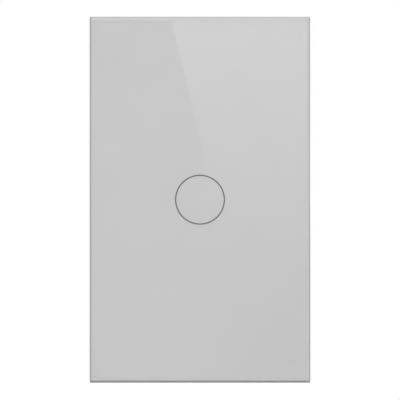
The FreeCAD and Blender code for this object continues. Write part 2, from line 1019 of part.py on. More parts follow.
def rear_housing():
    """Moulded box behind the strap, open at the front, with corner posts and windows for the terminals."""
    body = plate(housing_width, housing_height, housing_corner, frame_back, housing_back)
    rear = [e for e in body.Edges if e.BoundBox.YMin > housing_back - tolerance]
    body = body.makeFillet(min(housing_edge_radius, largest_edge_share * housing_wall), rear)
    cavity = plate(
        housing_inner_width,
        housing_inner_height,
        housing_corner - housing_wall,
        frame_back - past,
        housing_ceiling,
    )
    body = body.cut(cavity)
    posts = [
        round_bar(post_diameter / 2, post_front, housing_ceiling + sink, x, z)
        for x, z in corners(post_x, post_z)
    ]
    ribs = []
    for side, z in rest_rib_places():
        x0, x1 = sorted(
            (side * (housing_inner_width / 2 + sink), side * (housing_inner_width / 2 - rest_rib_reach))
        )
        h = rest_rib_width / 2
        ribs.append(block(x0, x1, power_back, housing_ceiling + sink, z - h, z + h))
    body = body.fuse(posts + ribs)
    head = housing_head_diameter / 2 + 2 * screw_gap
    shank = housing_screw_diameter / 2 + 3 * screw_gap
    cuts = []
    for x, z in corners(post_x, post_z):
        cuts.append(round_bar(shank, post_front - past, housing_back + past, x, z))
        cuts.append(round_bar(head, housing_seat, housing_back + past, x, z))
    a = terminal_width / 2 + terminal_window_gap
    top = terminal_high_z + terminal_window_gap
    low = terminal_low_z - terminal_window_gap
    cuts.append(block(-a, a, housing_ceiling - past, housing_back + past, low, top))
    wire_top = contact_low + cage_gap
    wire_bottom = wire_low - cage_gap
    outside = -housing_height / 2
    for x in pole_places():
        w = wire_entry_width / 2 + cage_gap
        cuts.append(block(x - w, x + w, wire_bottom, wire_top, outside - past, low + past))
    cuts += vent_spaces()
    return body.cut(cuts)


housing_seat = housing_back - housing_head_height - housing_head_recess


def vent_spaces():
    """Slots for cooling air: a row across the back, and a row through each side wall."""
    cuts = []
    back_z = row_two_z + transformer_length / 2
    for i in range(vent_count):
        x = (i - (vent_count - 1) / 2) * vent_pitch
        cuts.append(
            long_hole(vent_width, vent_length, housing_ceiling - past, housing_back + past, x, back_z)
        )
    z0, z1 = side_vent_z - side_vent_length / 2, side_vent_z + side_vent_length / 2
    for side in (-1, 1):
        x0, x1 = sorted((side * (housing_inner_width / 2 - sink), side * (housing_width / 2 + past)))
        for i in range(vent_count):
            y = power_back + side_vent_start + i * side_vent_pitch
            cuts.append(block(x0, x1, y, y + side_vent_width, z0, z1))
    return cuts


def housing_screws():
    """Long screws from the back, through the housing's posts into the frame's bosses."""
    length = housing_seat - (boss_front + boss_cap + screw_end_gap)
    return Part.makeCompound(
        [
            pan_screw(
                housing_screw_diameter,
                length,
                housing_head_diameter,
                housing_head_height,
                housing_seat,
                x,
                z,
                1,
            )
            for x, z in corners(post_x, post_z)
        ]
    )


# Power board


def power_board():
    """Mains circuit board, cut round the housing's posts and pierced for the header and contacts."""
    body = plate(power_width, power_height, 1.0, power_front, power_back)
    radius = post_diameter / 2 + board_notch_gap
    span = (power_front - past, power_back + past)
    cuts = corner_notches(power_width, power_height, radius, post_x, post_z, *span)
    cuts += [pin_space(x, z, *span, header_pin_gap) for x, z in header_places()]
    for x in pole_places():
        cuts.append(contact_pin(x, *span, header_pin_gap))
    return body.cut(cuts)


def solder_joints():
    """Solder cones on the front of the power board, under the parts' leads."""
    places = []
    for x0, x1, z0, z1 in footprints():
        places.append((x0 + solder_inset, z0 + solder_inset))
        places.append((x1 - solder_inset, z1 - solder_inset))
    return Part.makeCompound(
        [
            Part.makeCone(
                solder_radius, solder_radius / 3, solder_height, V(x, power_front, z), V(0, -1, 0)
            )
            for x, z in places
        ]
    )


relay_x0 = row_left_x
relay_x1 = relay_x0 + relay_width
film_x0 = relay_x1 + component_gap
film_x1 = film_x0 + film_capacitor_width
varistor_x0 = film_x1 + component_gap
varistor_x1 = varistor_x0 + varistor_thickness
fuse_x = varistor_x1 + component_gap + fuse_diameter / 2
transformer_x1 = power_width / 2 - rest_rib_reach - component_gap
transformer_x0 = transformer_x1 - transformer_width
large_x = row_left_x + large_capacitor_diameter / 2
large_z = row_two_z + large_capacitor_diameter / 2
small_x = large_x + large_capacitor_diameter / 2 + component_gap + small_capacitor_diameter / 2
small_z = row_two_z + small_capacitor_diameter / 2
choke_x = small_x
choke_z = small_z + small_capacitor_diameter / 2 + component_gap + choke_diameter / 2
rectifier_x0 = row_left_x
rectifier_z0 = large_z + large_capacitor_diameter / 2 + component_gap


def footprints():
    """The outline on the board of each part whose leads pass through it."""
    small = small_capacitor_diameter / 2
    large = large_capacitor_diameter / 2
    return [
        (relay_x0, relay_x1, row_one_z, row_one_z + relay_length),
        (film_x0, film_x1, row_one_z, row_one_z + film_capacitor_length),
        (transformer_x0, transformer_x1, row_two_z, row_two_z + transformer_length),
        (large_x - large, large_x + large, large_z - large, large_z + large),
        (small_x - small, small_x + small, small_z - small, small_z + small),
    ]


def film_capacitor():
    """Mains suppression capacitor in a moulded box."""
    body = plate(
        film_capacitor_width,
        film_capacitor_length,
        film_capacitor_corner,
        power_back,
        power_back + film_capacitor_height,
        (film_x0 + film_x1) / 2,
        row_one_z + film_capacitor_length / 2,
    )
    top = [e for e in body.Edges if e.BoundBox.YMin > power_back + film_capacitor_height - tolerance]
    return body.makeChamfer(film_capacitor_edge, top)


def varistor():
    """Surge-protection disc on two leads."""
    r = varistor_diameter / 2
    y = power_back + varistor_lift + r
    z = row_one_z + r
    disc = Part.makeCylinder(r, varistor_thickness, V(varistor_x0, y, z), V(1, 0, 0))
    rims = [e for e in disc.Edges if len(e.Vertexes) == 1]
    disc = disc.makeFillet(varistor_thickness * varistor_edge_share, rims)
    middle = (varistor_x0 + varistor_x1) / 2
    leads = [round_bar(lead_diameter / 2, power_back, y, middle, z + s * r / 2) for s in (-1, 1)]
    return disc.fuse(leads)


def fuse():
    """Small fuse that lies along the board on bent leads."""
    r = fuse_diameter / 2
    wire_radius = lead_diameter / 2
    y = power_back + fuse_lift + r
    z0 = row_one_z + fuse_inset
    body = Part.makeCylinder(r, fuse_length, V(fuse_x, y, z0), V(0, 0, 1))
    rims = [e for e in body.Edges if len(e.Vertexes) == 1]
    body = body.makeFillet(r * fuse_edge_share, rims)
    reach = lead_reach + wire_radius
    wire = Part.makeCylinder(wire_radius, fuse_length + 2 * reach, V(fuse_x, y, z0 - reach), V(0, 0, 1))
    ends = (z0 - lead_reach, z0 + fuse_length + lead_reach)
    leads = [round_bar(wire_radius, power_back, y, fuse_x, z) for z in ends]
    return body.fuse([wire] + leads)


def upright_capacitor(diameter, height, x, z):
    """Electrolytic capacitor in an aluminium can, with a crimp groove near its foot."""
    r = diameter / 2
    can = round_bar(r, power_back, power_back + height, x, z)
    top = [e for e in can.Edges if e.BoundBox.YMin > power_back + height - tolerance]
    can = can.makeFillet(capacitor_edge, [e for e in top if len(e.Vertexes) == 1])
    middle = V(x, power_back + capacitor_groove_height, z)
    groove = Part.makeTorus(r + capacitor_groove_offset, capacitor_groove_radius, middle, V(0, 1, 0))
    return can.cut(groove)


def smoothing_capacitors():
    """The two electrolytic capacitors."""
    return Part.makeCompound(
        [
            upright_capacitor(large_capacitor_diameter, large_capacitor_height, large_x, large_z),
            upright_capacitor(small_capacitor_diameter, small_capacitor_height, small_x, small_z),
        ]
    )


transformer_x = (transformer_x0 + transformer_x1) / 2
transformer_z = row_two_z + transformer_length / 2
transformer_low = power_back + transformer_lift
transformer_high = power_back + transformer_height


def winding_window(side, gap):
    """The window of the core on one side of its middle limb, smaller by gap all round."""
    near, far = transformer_limb / 2, transformer_width / 2 - transformer_side
    x0, x1 = sorted((transformer_x + side * (near + gap), transformer_x + side * (far - gap)))
    half = transformer_length / 2
    y0, y1 = transformer_low + transformer_limb / 2, transformer_high - transformer_limb / 2
    return block(x0, x1, y0 + gap, y1 - gap, transformer_z - half, transformer_z + half)


def transformer_core():
    """Ferrite core pair of the transformer, as one closed loop with a middle limb."""
    z0 = transformer_z - transformer_core_length / 2
    z1 = transformer_z + transformer_core_length / 2
    body = block(transformer_x0, transformer_x1, transformer_low, transformer_high, z0, z1)
    return body.cut([winding_window(side, 0.0) for side in (-1, 1)])


def transformer_winding():
    """Bobbin and taped winding round the transformer's middle limb, on two feet."""
    halves = [winding_window(side, transformer_gap) for side in (-1, 1)]
    box = halves[0].BoundBox
    half = transformer_length / 2
    reach = transformer_core_length / 2 + transformer_gap
    x0, x1 = box.XMin, 2 * transformer_x - box.XMin
    ends = []
    for side in (-1, 1):
        z0, z1 = sorted((transformer_z + side * reach, transformer_z + side * half))
        ends.append(block(x0, x1, box.YMin, box.YMax, z0, z1))
        z0, z1 = sorted((transformer_z + side * (half - transformer_foot), transformer_z + side * half))
        ends.append(block(x0, x1, power_back, box.YMin + sink, z0, z1))
    return halves[0].fuse(halves[1:] + ends).removeSplitter()


def choke():
    """Wound drum inductor."""
    top = power_back + choke_height
    radius = choke_diameter / 2
    at = (choke_x, choke_z)
    drum = round_bar(choke_waist_diameter / 2, power_back, top, *at)
    ends = [
        round_bar(radius, power_back, power_back + choke_flange, *at),
        round_bar(radius, top - choke_flange, top, *at),
    ]
    return drum.fuse(ends)


def rectifier():
    """Bridge rectifier in a moulded package with four flat leads."""
    h = rectifier_size
    x0, z0 = rectifier_x0 + rectifier_lead_reach, rectifier_z0
    y0, y1 = power_back + rectifier_lift, power_back + rectifier_height
    body = block(x0, x0 + h, y0, y1, z0, z0 + h)
    a = rectifier_lead_width / 2
    lead_back = power_back + rectifier_lead_thickness
    spans = [(x0 - rectifier_lead_reach, x0 + sink), (x0 + h - sink, x0 + h + rectifier_lead_reach)]
    leads = []
    for z in (z0 + h / 4, z0 + 3 * h / 4):
        leads += [block(start, end, power_back, lead_back, z - a, z + a) for start, end in spans]
    return body.fuse(leads)


# Relay: the coil stands on its base, the yoke carries the armature over the coil

relay_x = (relay_x0 + relay_x1) / 2
relay_z0 = row_one_z
relay_z1 = row_one_z + relay_length
relay_foot = power_back + relay_standoff
relay_top = relay_foot + relay_height
relay_floor = relay_foot + relay_base_height
relay_inner_x = relay_width / 2 - relay_case_wall - relay_inner_gap
hinge_z = relay_z0 + relay_case_wall + yoke_gap + yoke_thickness
coil_z = hinge_z + yoke_gap + coil_diameter / 2
pole_end_z = coil_z + core_diameter / 2 + pole_lip
armature_fall = (pole_end_z - hinge_z) * math.sin(math.radians(armature_swing))
pole_top = relay_top - relay_case_wall - armature_room
armature_low = pole_top + armature_fall + armature_rest_gap
blade_low = armature_low + armature_thickness
contact_z = relay_z1 - relay_case_wall - contact_button_diameter
contact_fall = (contact_z - hinge_z) * math.sin(math.radians(armature_swing))


def relay_case():
    """Sealed plastic case of the relay, open towards the board."""
    body = plate(
        relay_width,
        relay_length,
        0.8,
        relay_foot,
        relay_top,
        relay_x,
        (relay_z0 + relay_z1) / 2,
    )
    w = relay_case_wall
    hollow = block(
        relay_x0 + w, relay_x1 - w, relay_foot - past, relay_top - w, relay_z0 + w, relay_z1 - w
    )
    return body.cut(hollow)


def relay_base():
    """Plastic base that closes the relay's case and carries its pins."""
    w = relay_case_wall + screw_gap
    pin_inset = relay_case_wall + relay_pin_diameter
    pin_x = relay_width / 2 - pin_inset
    body = block(
        relay_x0 + w, relay_x1 - w, relay_foot, relay_floor, relay_z0 + w, relay_z1 - w
    )
    pins = [
        round_bar(
            relay_pin_diameter / 2, power_back, relay_foot + relay_base_height / 2, relay_x + sx * pin_x, z
        )
        for sx in (-1, 1)
        for z in (relay_z0 + pin_inset, relay_z1 - pin_inset)
    ]
    return body.fuse(pins)


def relay_yoke():
    """Soft-iron yoke: a leg under the coil and a leg up its side to the armature's hinge."""
    a = relay_inner_x - relay_inner_gap
    z0 = hinge_z - yoke_thickness
    x0, x1 = relay_x - a, relay_x + a
    foot = block(x0, x1, relay_floor, relay_floor + yoke_thickness, z0, pole_end_z)
    leg = block(x0, x1, relay_floor, armature_low - screw_gap, z0, hinge_z)
    radius = core_diameter / 2 + screw_gap
    hole = round_bar(radius, relay_floor - past, relay_floor + yoke_thickness + past, relay_x, coil_z)
    return foot.fuse(leg).cut(hole)


def relay_core():
    """Soft-iron core with a wider pole face."""
    radius = core_diameter / 2
    stem = round_bar(radius, relay_floor, pole_top, relay_x, coil_z)
    head = round_bar(radius + pole_lip, pole_top - pole_thickness, pole_top, relay_x, coil_z)
    return stem.fuse(head)


coil_low = relay_floor + yoke_thickness + screw_gap
coil_high = pole_top - pole_thickness - screw_gap


def relay_bobbin():
    """Plastic spool on the core."""
    radius = coil_diameter / 2
    at = (relay_x, coil_z)
    sleeve = round_bar(coil_inner_diameter / 2 - screw_gap, coil_low, coil_high, *at)
    flanges = [
        round_bar(radius, coil_low, coil_low + spool_flange, *at),
        round_bar(radius, coil_high - spool_flange, coil_high, *at),
    ]
    hole = round_bar(core_diameter / 2 + screw_gap, coil_low - past, coil_high + past, *at)
    return sleeve.fuse(flanges).cut(hole)


def relay_coil():
    """Copper winding on the spool, as one solid of its outer shape."""
    return tube(
        coil_diameter / 2 - spool_rim,
        coil_inner_diameter / 2,
        coil_low + spool_flange + screw_gap,
        coil_high - spool_flange - screw_gap,
        relay_x,
        coil_z,
    )


def relay_armature():
    """Hinged armature plate over the pole face."""
    a = relay_inner_x - armature_side_gap
    z0 = hinge_z - yoke_thickness
    return block(relay_x - a, relay_x + a, armature_low, blade_low, z0, pole_end_z)


def relay_moving_contact():
    """Contact blade riveted to the armature, with its contact button."""
    a = blade_width / 2
    radius = contact_button_diameter / 2
    back = blade_low + blade_thickness
    blade = block(relay_x - a, relay_x + a, blade_low, back, hinge_z, contact_z + radius)
    button = round_bar(radius, back - contact_button_height, back, relay_x, contact_z)
    return blade.fuse(button)


def relay_fixed_contact():
    """Fixed contact on a bracket that stands on the relay's base."""
    a = blade_width / 2
    radius = contact_button_diameter / 2
    t = fixed_blade_thickness
    face = blade_low + blade_thickness - contact_button_height - contact_fall - contact_rest_gap
    shelf_back = face - contact_button_height + t
    z1 = relay_z1 - relay_case_wall - relay_inner_gap
    x0, x1 = relay_x - a, relay_x + a
    shelf = block(x0, x1, shelf_back - t, shelf_back, contact_z - radius, z1)
    leg = block(x0, x1, relay_floor, shelf_back, z1 - t, z1)
    button = round_bar(radius, shelf_back - t, face, relay_x, contact_z)
    return shelf.fuse([leg, button])


# Terminal block

cage_width = pole_pitch - pole_web - 2 * cage_gap
cage_inner_width = cage_width - 2 * cage_wall
wire_entry_width = cage_inner_width
contact_width = cage_inner_width - 2 * contact_side_gap
chamber_low_z = terminal_low_z + terminal_entry_wall
cage_low_z = chamber_low_z + cage_gap
cage_high_z = cage_low_z + cage_depth
contact_leg_z0 = cage_high_z + cage_gap
contact_leg_z1 = contact_leg_z0 + contact_thickness
chamber_high_z = contact_leg_z1 + screw_gap
clamp_z = (cage_low_z + cage_high_z) / 2


def contact_bar(x, grow):
    """The flat of a contact, from the entry wall to its leg."""
    a = contact_width / 2 + grow
    z0, z1 = chamber_low_z - contact_entry_hold, contact_leg_z1
    return block(x - a, x + a, contact_low - grow, contact_high + grow, z0 - grow, z1 + grow)


def contact_pin(x, y0, y1, grow):
    """The narrow tail of a contact, through the board."""
    a = contact_pin_width / 2 + grow
    return block(x - a, x + a, y0, y1, contact_leg_z0 - grow, contact_leg_z1 + grow)


def terminal_block():
    """Moulded block: one chamber a pole, with a wire entry below and a screw hole behind."""
    width = terminal_width / 2
    body = block(-width, width, power_back, terminal_back, terminal_low_z, terminal_high_z)
    long_edges = [
        e
        for e in body.Edges
        if e.BoundBox.YMin > terminal_back - tolerance and e.BoundBox.XLength > terminal_width - tolerance
    ]
    body = body.makeChamfer(terminal_edge, long_edges)
    cuts = []
    for x in pole_places():
        a = cage_width / 2 + cage_gap
        cuts.append(
            block(
                x - a,
                x + a,
                power_back + terminal_floor,
                terminal_ceiling,
                chamber_low_z,
                chamber_high_z,
            )
        )
        w = wire_entry_width / 2
        cuts.append(
            block(x - w, x + w, wire_low, contact_low, terminal_low_z - past, chamber_low_z + past)
        )
        cuts.append(contact_bar(x, screw_gap))
        cuts.append(contact_pin(x, power_back - past, power_back + terminal_floor + past, screw_gap))
        head = clamp_head_diameter / 2 + clamp_head_gap
        cuts.append(round_bar(head, terminal_ceiling - past, terminal_back + past, x, clamp_z))
    return body.cut(cuts)


def terminal_contacts():
    """Brass contacts: a flat over the wire, a leg behind the cage and a tail through the board."""
    contacts = []
    for x in pole_places():
        a = contact_width / 2
        leg = block(
            x - a,
            x + a,
            power_back + terminal_floor + screw_gap,
            contact_high,
            contact_leg_z0,
            contact_leg_z1,
        )
        tail = contact_pin(x, power_front - contact_tail, power_back + terminal_floor + past, 0.0)
        contacts.append(contact_bar(x, 0.0).fuse([leg, tail]))
    return Part.makeCompound(contacts)


def clamp_cage(x):
    """Rising clamp cage: a loop whose back wall is the screw's nut."""
    a = cage_width / 2
    inner = cage_inner_width / 2
    body = block(x - a, x + a, cage_open, nut_high, cage_low_z, cage_high_z)
    hollow = block(x - inner, x + inner, wire_low, nut_low, cage_low_z - past, cage_high_z + past)
    thread = round_bar(
        clamp_screw_diameter / 2 + thread_gap, nut_low - past, nut_high + past, x, clamp_z
    )
    return body.cut([hollow, thread])


def clamp_screw(x):
    """Clamp screw with a slotted cheese head, its tip on the contact."""
    r = clamp_screw_diameter / 2
    head = round_bar(clamp_head_diameter / 2, clamp_head_low, clamp_head_high, x, clamp_z)
    rim = [
        e
        for e in head.Edges
        if e.BoundBox.YMin > clamp_head_high - tolerance and len(e.Vertexes) == 1
    ]
    head = head.makeChamfer(clamp_edge, rim)
    stem = round_bar(r, contact_high + screw_gap, clamp_head_low + sink, x, clamp_z)
    depth = clamp_head_height * recess_depth_share
    slot = block(
        x - clamp_head_diameter,
        x + clamp_head_diameter,
        clamp_head_high - depth,
        clamp_head_high + past,
        clamp_z - clamp_slot_width / 2,
        clamp_z + clamp_slot_width / 2,
    )
    cross = cross_recess(clamp_head_diameter * recess_share, depth, clamp_head_high, x, clamp_z, 1)
    return head.fuse(stem).cut([slot, cross])


def assembly():
    """Every piece of the switch, by node name."""
    pieces = {
        "glass_panel": glass_panel(),
        "back_paint": back_paint(),
        "touch_ring": ring_slot(),
        "panel_tape": panel_tape(),
        "panel_carrier": panel_carrier(),
        "carrier_hooks": carrier_hooks(),
        "mounting_strap": mounting_strap(),
        "strap_screws": strap_screws(),
        "mounting_frame": mounting_frame(),
        "board_cover": board_cover(),
        "cover_screws": cover_screws(),
        "light_guide": light_guide(),
        "touch_spring": touch_spring(),
        "sensor_board": sensor_board(),
        "indicator_leds": indicator_leds(),
        "touch_chip": touch_chip(),
        "sensor_passives": sensor_passives(),
        "wireless_board": wireless_board(),
        "wireless_shield": wireless_shield(),
        "board_socket": board_socket(),
        "board_header": board_header(),
        "header_pins": header_pins(),
        "rear_housing": rear_housing(),
        "housing_screws": housing_screws(),
        "power_board": power_board(),
        "solder_joints": solder_joints(),
        "film_capacitor": film_capacitor(),
        "varistor": varistor(),
        "fuse": fuse(),
        "smoothing_capacitors": smoothing_capacitors(),
        "transformer_core": transformer_core(),
        "transformer_winding": transformer_winding(),
        "choke": choke(),
        "rectifier": rectifier(),
        "relay_case": relay_case(),
        "relay_base": relay_base(),
        "relay_yoke": relay_yoke(),
        "relay_core": relay_core(),
        "relay_bobbin": relay_bobbin(),
        "relay_coil": relay_coil(),
        "relay_armature": relay_armature(),
        "relay_moving_contact": relay_moving_contact(),
        "relay_fixed_contact": relay_fixed_contact(),
        "terminal_block": terminal_block(),
        "terminal_contacts": terminal_contacts(),
    }
    for number, x in enumerate(pole_places(), 1):
        pieces[f"clamp_cage_{number}"] = clamp_cage(x)
        pieces[f"clamp_screw_{number}"] = clamp_screw(x)
    return pieces


def main():
    """Builds each piece and writes one STEP file a node."""
    os.makedirs("parts", exist_ok=True)
    for name, shape in assembly().items():
        assert shape.Solids and shape.isValid(), f"{name} is not a valid solid"
        shape.exportStep(f"parts/{name}.step")
        print(name, len(shape.Solids), f"{shape.Volume:.2f}")


main()
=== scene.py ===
"""Finishes a glass touch switch: smooth glass and wire, a material for each piece, and a plain studio."""

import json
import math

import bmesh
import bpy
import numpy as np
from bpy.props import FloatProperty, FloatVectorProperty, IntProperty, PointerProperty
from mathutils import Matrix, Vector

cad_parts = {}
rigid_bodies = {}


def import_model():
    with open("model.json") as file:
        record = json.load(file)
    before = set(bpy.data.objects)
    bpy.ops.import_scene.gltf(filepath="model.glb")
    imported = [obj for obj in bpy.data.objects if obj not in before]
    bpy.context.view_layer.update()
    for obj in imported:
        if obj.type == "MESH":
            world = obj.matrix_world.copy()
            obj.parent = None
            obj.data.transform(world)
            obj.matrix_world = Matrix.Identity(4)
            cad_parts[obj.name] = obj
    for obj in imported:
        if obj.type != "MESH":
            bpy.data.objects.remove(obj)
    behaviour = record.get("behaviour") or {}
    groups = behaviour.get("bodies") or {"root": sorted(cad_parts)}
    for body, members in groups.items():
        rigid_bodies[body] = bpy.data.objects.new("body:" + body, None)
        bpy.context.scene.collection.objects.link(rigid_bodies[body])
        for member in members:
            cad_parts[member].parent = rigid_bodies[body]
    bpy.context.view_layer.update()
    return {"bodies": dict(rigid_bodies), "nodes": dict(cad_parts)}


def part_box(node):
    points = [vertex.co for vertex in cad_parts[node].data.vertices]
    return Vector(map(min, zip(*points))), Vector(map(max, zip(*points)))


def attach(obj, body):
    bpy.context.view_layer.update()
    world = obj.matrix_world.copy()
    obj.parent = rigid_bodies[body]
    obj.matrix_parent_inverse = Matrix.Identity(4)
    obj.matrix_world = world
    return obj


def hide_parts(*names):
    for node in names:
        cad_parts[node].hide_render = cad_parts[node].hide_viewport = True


bl_info = {
    "name": "Glass touch switch",
    "version": (1, 0, 0),
    "blender": (4, 5, 0),
    "location": "3D View > Sidebar > Switch",
    "description": "Builds the glass panel, its finishes and the studio of a touch switch",
    "category": "Add Mesh",
}

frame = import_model()

MM = 0.001
GLASS_LOW, GLASS_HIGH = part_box("glass_panel")
SPRING_LOW, SPRING_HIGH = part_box("touch_spring")

# A softened copy: what is one point, what is one flat, and which edges stay sharp
MERGE = 0.001 * MM
FLAT_ANGLE = math.radians(0.3)
SHARP_ANGLE = math.radians(28)

# Widths of the bevels that break the edges of moulded, sheared and taped pieces
MOULDED_EDGE = 0.1 * MM
FINE_EDGE = 0.05 * MM
TAPED_EDGE = 0.4 * MM

# The mouldings so full of ribs and slots that only the edges on the sides of their own box are broken,
# and how near such a side an edge has to lie
RIBBED = ("rear_housing", "mounting_frame")
ON_A_SIDE = 0.02 * MM

# The glass: points on the arc of its edge, points round each corner, and a corner's least radius
ARC_POINTS, CORNER_POINTS = 13, 7
LEAST_RADIUS = 0.03 * MM

# The touch spring: points for each turn, points round the wire, and how far its middle keeps from the
# ends of the spring's box, in half wires: more than one, because the wire climbs
SPRING_STEPS, SPRING_SIDES = 48, 16
SPRING_END = 1.3

# A wound coil's skin: rows for each turn, points round it, and how deep its grooves go, where 1 is to
# the middle of the wire
WINDING_STEPS, WINDING_SIDES = 6, 48
GROOVE = 0.95

# Where the coils sit: the drum of the choke and how many wires its winding stands out from it, and the
# bore of the relay's coil
CHOKE_FLANGE, CHOKE_WAIST = 1.2 * MM, 4.8 * MM
CHOKE_LAYERS = 1.4
COIL_BORE = 5.2 * MM

# Which faces look along Y, and which of a capacitor's are its stripe, by the parts of the normal
FACES_BACK, FACES_UP = 0.98, 0.93

# How far below the top of a screw's head its recess is looked for, to be painted as shade
RECESS = 0.1 * MM

# A noise texture stays mostly between these, so its range is taken from there, and how far the
# roughness goes either way over that range
NOISE_LOW, NOISE_HIGH = 0.3, 0.7
GLOSS_SPREAD = 0.06

# A colour Mix node's sockets, which share their names with those for numbers
MIX_LOW, MIX_HIGH, MIX_COLOUR = 6, 7, 2

# How far above and below the horizon the room's light goes from dim to bright, as a sine
HORIZON = 0.3

# The soft boxes: where each stands and how large it is
FRONT_BOX = (0.4, -2.0, 1.1), (4.6, 3.4)
REAR_BOX = (1.7, 1.9, 1.15), (3.4, 2.6)
SIDE_BOX = (-2.4, 0.1, 0.4), (1.6, 1.6)

# The floor: its radius, its sides, and where it starts and ends its way to white, from the middle out
FLOOR_RADIUS = 0.55
FLOOR_SIDES = 96
FADE_FROM, FADE_TO = 0.2, 0.5

# The card's size, in widths and heights of the panel as the card mirrors it
CARD_WIDTHS, CARD_HEIGHTS = 5.0, 3.0

# The ground edge: how far behind the front its grey starts and ends its way from painted light to painted
# shade down the side of the glass, and how light and how dark it is painted there beside the print
PAINTED_SHADE_FROM, PAINTED_SHADE_TO = 0.05 * MM, 0.45 * MM
FRONT_PAINTED_LIGHT, SIDE_PAINTED_SHADE = 1.06, 0.78

# The slanted edge that the glass reflects: two points of it on the glass, as (x, z), and how soft it is
EDGE_TOP = Vector((-9.5, 58.9)) * MM
EDGE_FOOT = Vector((2.4, 10.8)) * MM
EDGE_SHARP = 0.3 * MM
EDGE_SOFT = 44.0 * MM


def linear(code):
    """Linear colour of an sRGB hex code."""
    parts = [int(code[i : i + 2], 16) / 255 for i in (0, 2, 4)]
    return [p / 12.92 if p <= 0.04045 else ((p + 0.055) / 1.055) ** 2.4 for p in parts]


class PanelSizes(bpy.types.PropertyGroup):
    """Sizes of the front panel and of the spring behind it."""

    edge_radius: FloatProperty(
        name="Edge radius", description="Radius ground on the front edges of the glass",
        default=1.15 * MM, unit="LENGTH", subtype="DISTANCE",
    )
    back_edge: FloatProperty(
        name="Back edge", description="Small chamfer round the back of the glass",
        default=0.2 * MM, unit="LENGTH", subtype="DISTANCE",
    )
    corner_radius: FloatProperty(
        name="Corner radius", description="Radius of the glass's four corners, seen from the front",
        default=0.35 * MM, unit="LENGTH", subtype="DISTANCE",
    )
    air_film: FloatProperty(
        name="Air film", description="Gap between the glass and its printed layer",
        default=0.02 * MM, unit="LENGTH", subtype="DISTANCE",
    )
    wire: FloatProperty(
        name="Spring wire", description="Diameter of the touch spring's wire",
        default=0.5 * MM, unit="LENGTH", subtype="DISTANCE",
    )
    relay_wire: FloatProperty(
        name="Relay wire", description="Wire of the relay's coil, drawn thicker than real so that it shows",
        default=0.32 * MM, unit="LENGTH", subtype="DISTANCE",
    )
    choke_wire: FloatProperty(
        name="Choke wire", description="Wire of the choke's winding",
        default=0.3 * MM, unit="LENGTH", subtype="DISTANCE",
    )
    turns: IntProperty(
        name="Spring turns", description="Turns of the touch spring", default=4, min=1,
    )


class SwitchColours(bpy.types.PropertyGroup):
    """Colours of the pieces that show from outside."""

    enamel: FloatVectorProperty(
        name="Enamel", description="Printed enamel behind the glass",
        default=linear("bdbdbd"), subtype="COLOR", min=0, max=1,
    )
    ring: FloatVectorProperty(
        name="Ring", description="Dark ink of the touch ring",
        default=linear("242426"), subtype="COLOR", min=0, max=1,
    )
    carrier: FloatVectorProperty(
        name="Carrier", description="Moulded carrier behind the glass",
        default=linear("b4b5b5"), subtype="COLOR", min=0, max=1,
    )
    base: FloatVectorProperty(
        name="Base", description="Moulded frame and cover",
        default=linear("dededb"), subtype="COLOR", min=0, max=1,
    )
    housing: FloatVectorProperty(
        name="Housing", description="Moulded housing in the wall",
        default=linear("e4e3de"), subtype="COLOR", min=0, max=1,
    )
    terminal: FloatVectorProperty(
        name="Terminal", description="Moulded terminal block",
        default=linear("4f7d5b"), subtype="COLOR", min=0, max=1,
    )


class StudioSettings(bpy.types.PropertyGroup):
    """Camera and light."""

    camera_distance: FloatProperty(
        name="Camera distance", description="From the lens to the front of the glass",
        default=1.5, unit="LENGTH", subtype="DISTANCE",
    )
    camera_rise: FloatProperty(
        name="Camera rise", description="Height of the lens over the middle of the switch",
        default=-0.1 * MM, unit="LENGTH", subtype="DISTANCE",
    )
    field: FloatProperty(
        name="Field", description="Width that the picture covers at the front of the glass",
        default=131.06 * MM, unit="LENGTH", subtype="DISTANCE",
    )
    floor_drop: FloatProperty(
        name="Floor", description="Height of the floor below the middle of the switch",
        default=0.45, unit="LENGTH", subtype="DISTANCE",
    )
    key_power: FloatProperty(
        name="Key light", description="Power of the soft box above the camera", default=71.0, unit="POWER",
    )
    rear_power: FloatProperty(
        name="Rear light", description="Power of the soft box behind the switch", default=42.0, unit="POWER",
    )
    side_power: FloatProperty(
        name="Side light", description="Power of the soft box on the left", default=10.0, unit="POWER",
    )
    ambient_high: FloatProperty(
        name="Ambient above", description="Strength of the room's soft light from above", default=0.58, min=0,
    )
    ambient_low: FloatProperty(
        name="Ambient below", description="Strength of the room's soft light from below", default=0.25, min=0,
    )
    card_distance: FloatProperty(
        name="Card distance", description="From the front of the glass to the reflected card",
        default=1.7, unit="LENGTH", subtype="DISTANCE",
    )
    card_bright: FloatProperty(
        name="Card top", description="Brightness of the card at its top", default=1.7, min=0,
    )
    card_dim: FloatProperty(
        name="Card foot", description="Brightness of the card at its foot", default=0.5, min=0,
    )


# Tools for meshes


def mesh_piece(name, points, faces, material, smooth=True):
    """A new object from an array of points and one of faces, in the switch's own frame."""
    mesh = bpy.data.meshes.new(name)
    mesh.from_pydata(points.tolist(), [], [list(map(int, face)) for face in faces])
    mesh.polygons.foreach_set("use_smooth", np.full(len(mesh.polygons), smooth))
    mesh.update()
    piece = bpy.data.objects.new(name, mesh)
    bpy.context.scene.collection.objects.link(piece)
    piece.data.materials.append(material)
    return piece


def grid_faces(rows, columns, closed_rows=False, closed_columns=False):
    """Quads between neighbouring points of a rows by columns grid, wrapping round where it is closed."""
    r = np.arange(rows if closed_rows else rows - 1)[:, None]
    c = np.arange(columns if closed_columns else columns - 1)[None, :]
    r2, c2 = (r + 1) % rows, (c + 1) % columns
    quads = [r * columns + c, r * columns + c2, r2 * columns + c2, r2 * columns + c]
    return np.stack([np.broadcast_to(q, (r.size, c.size)).ravel() for q in quads], 1)


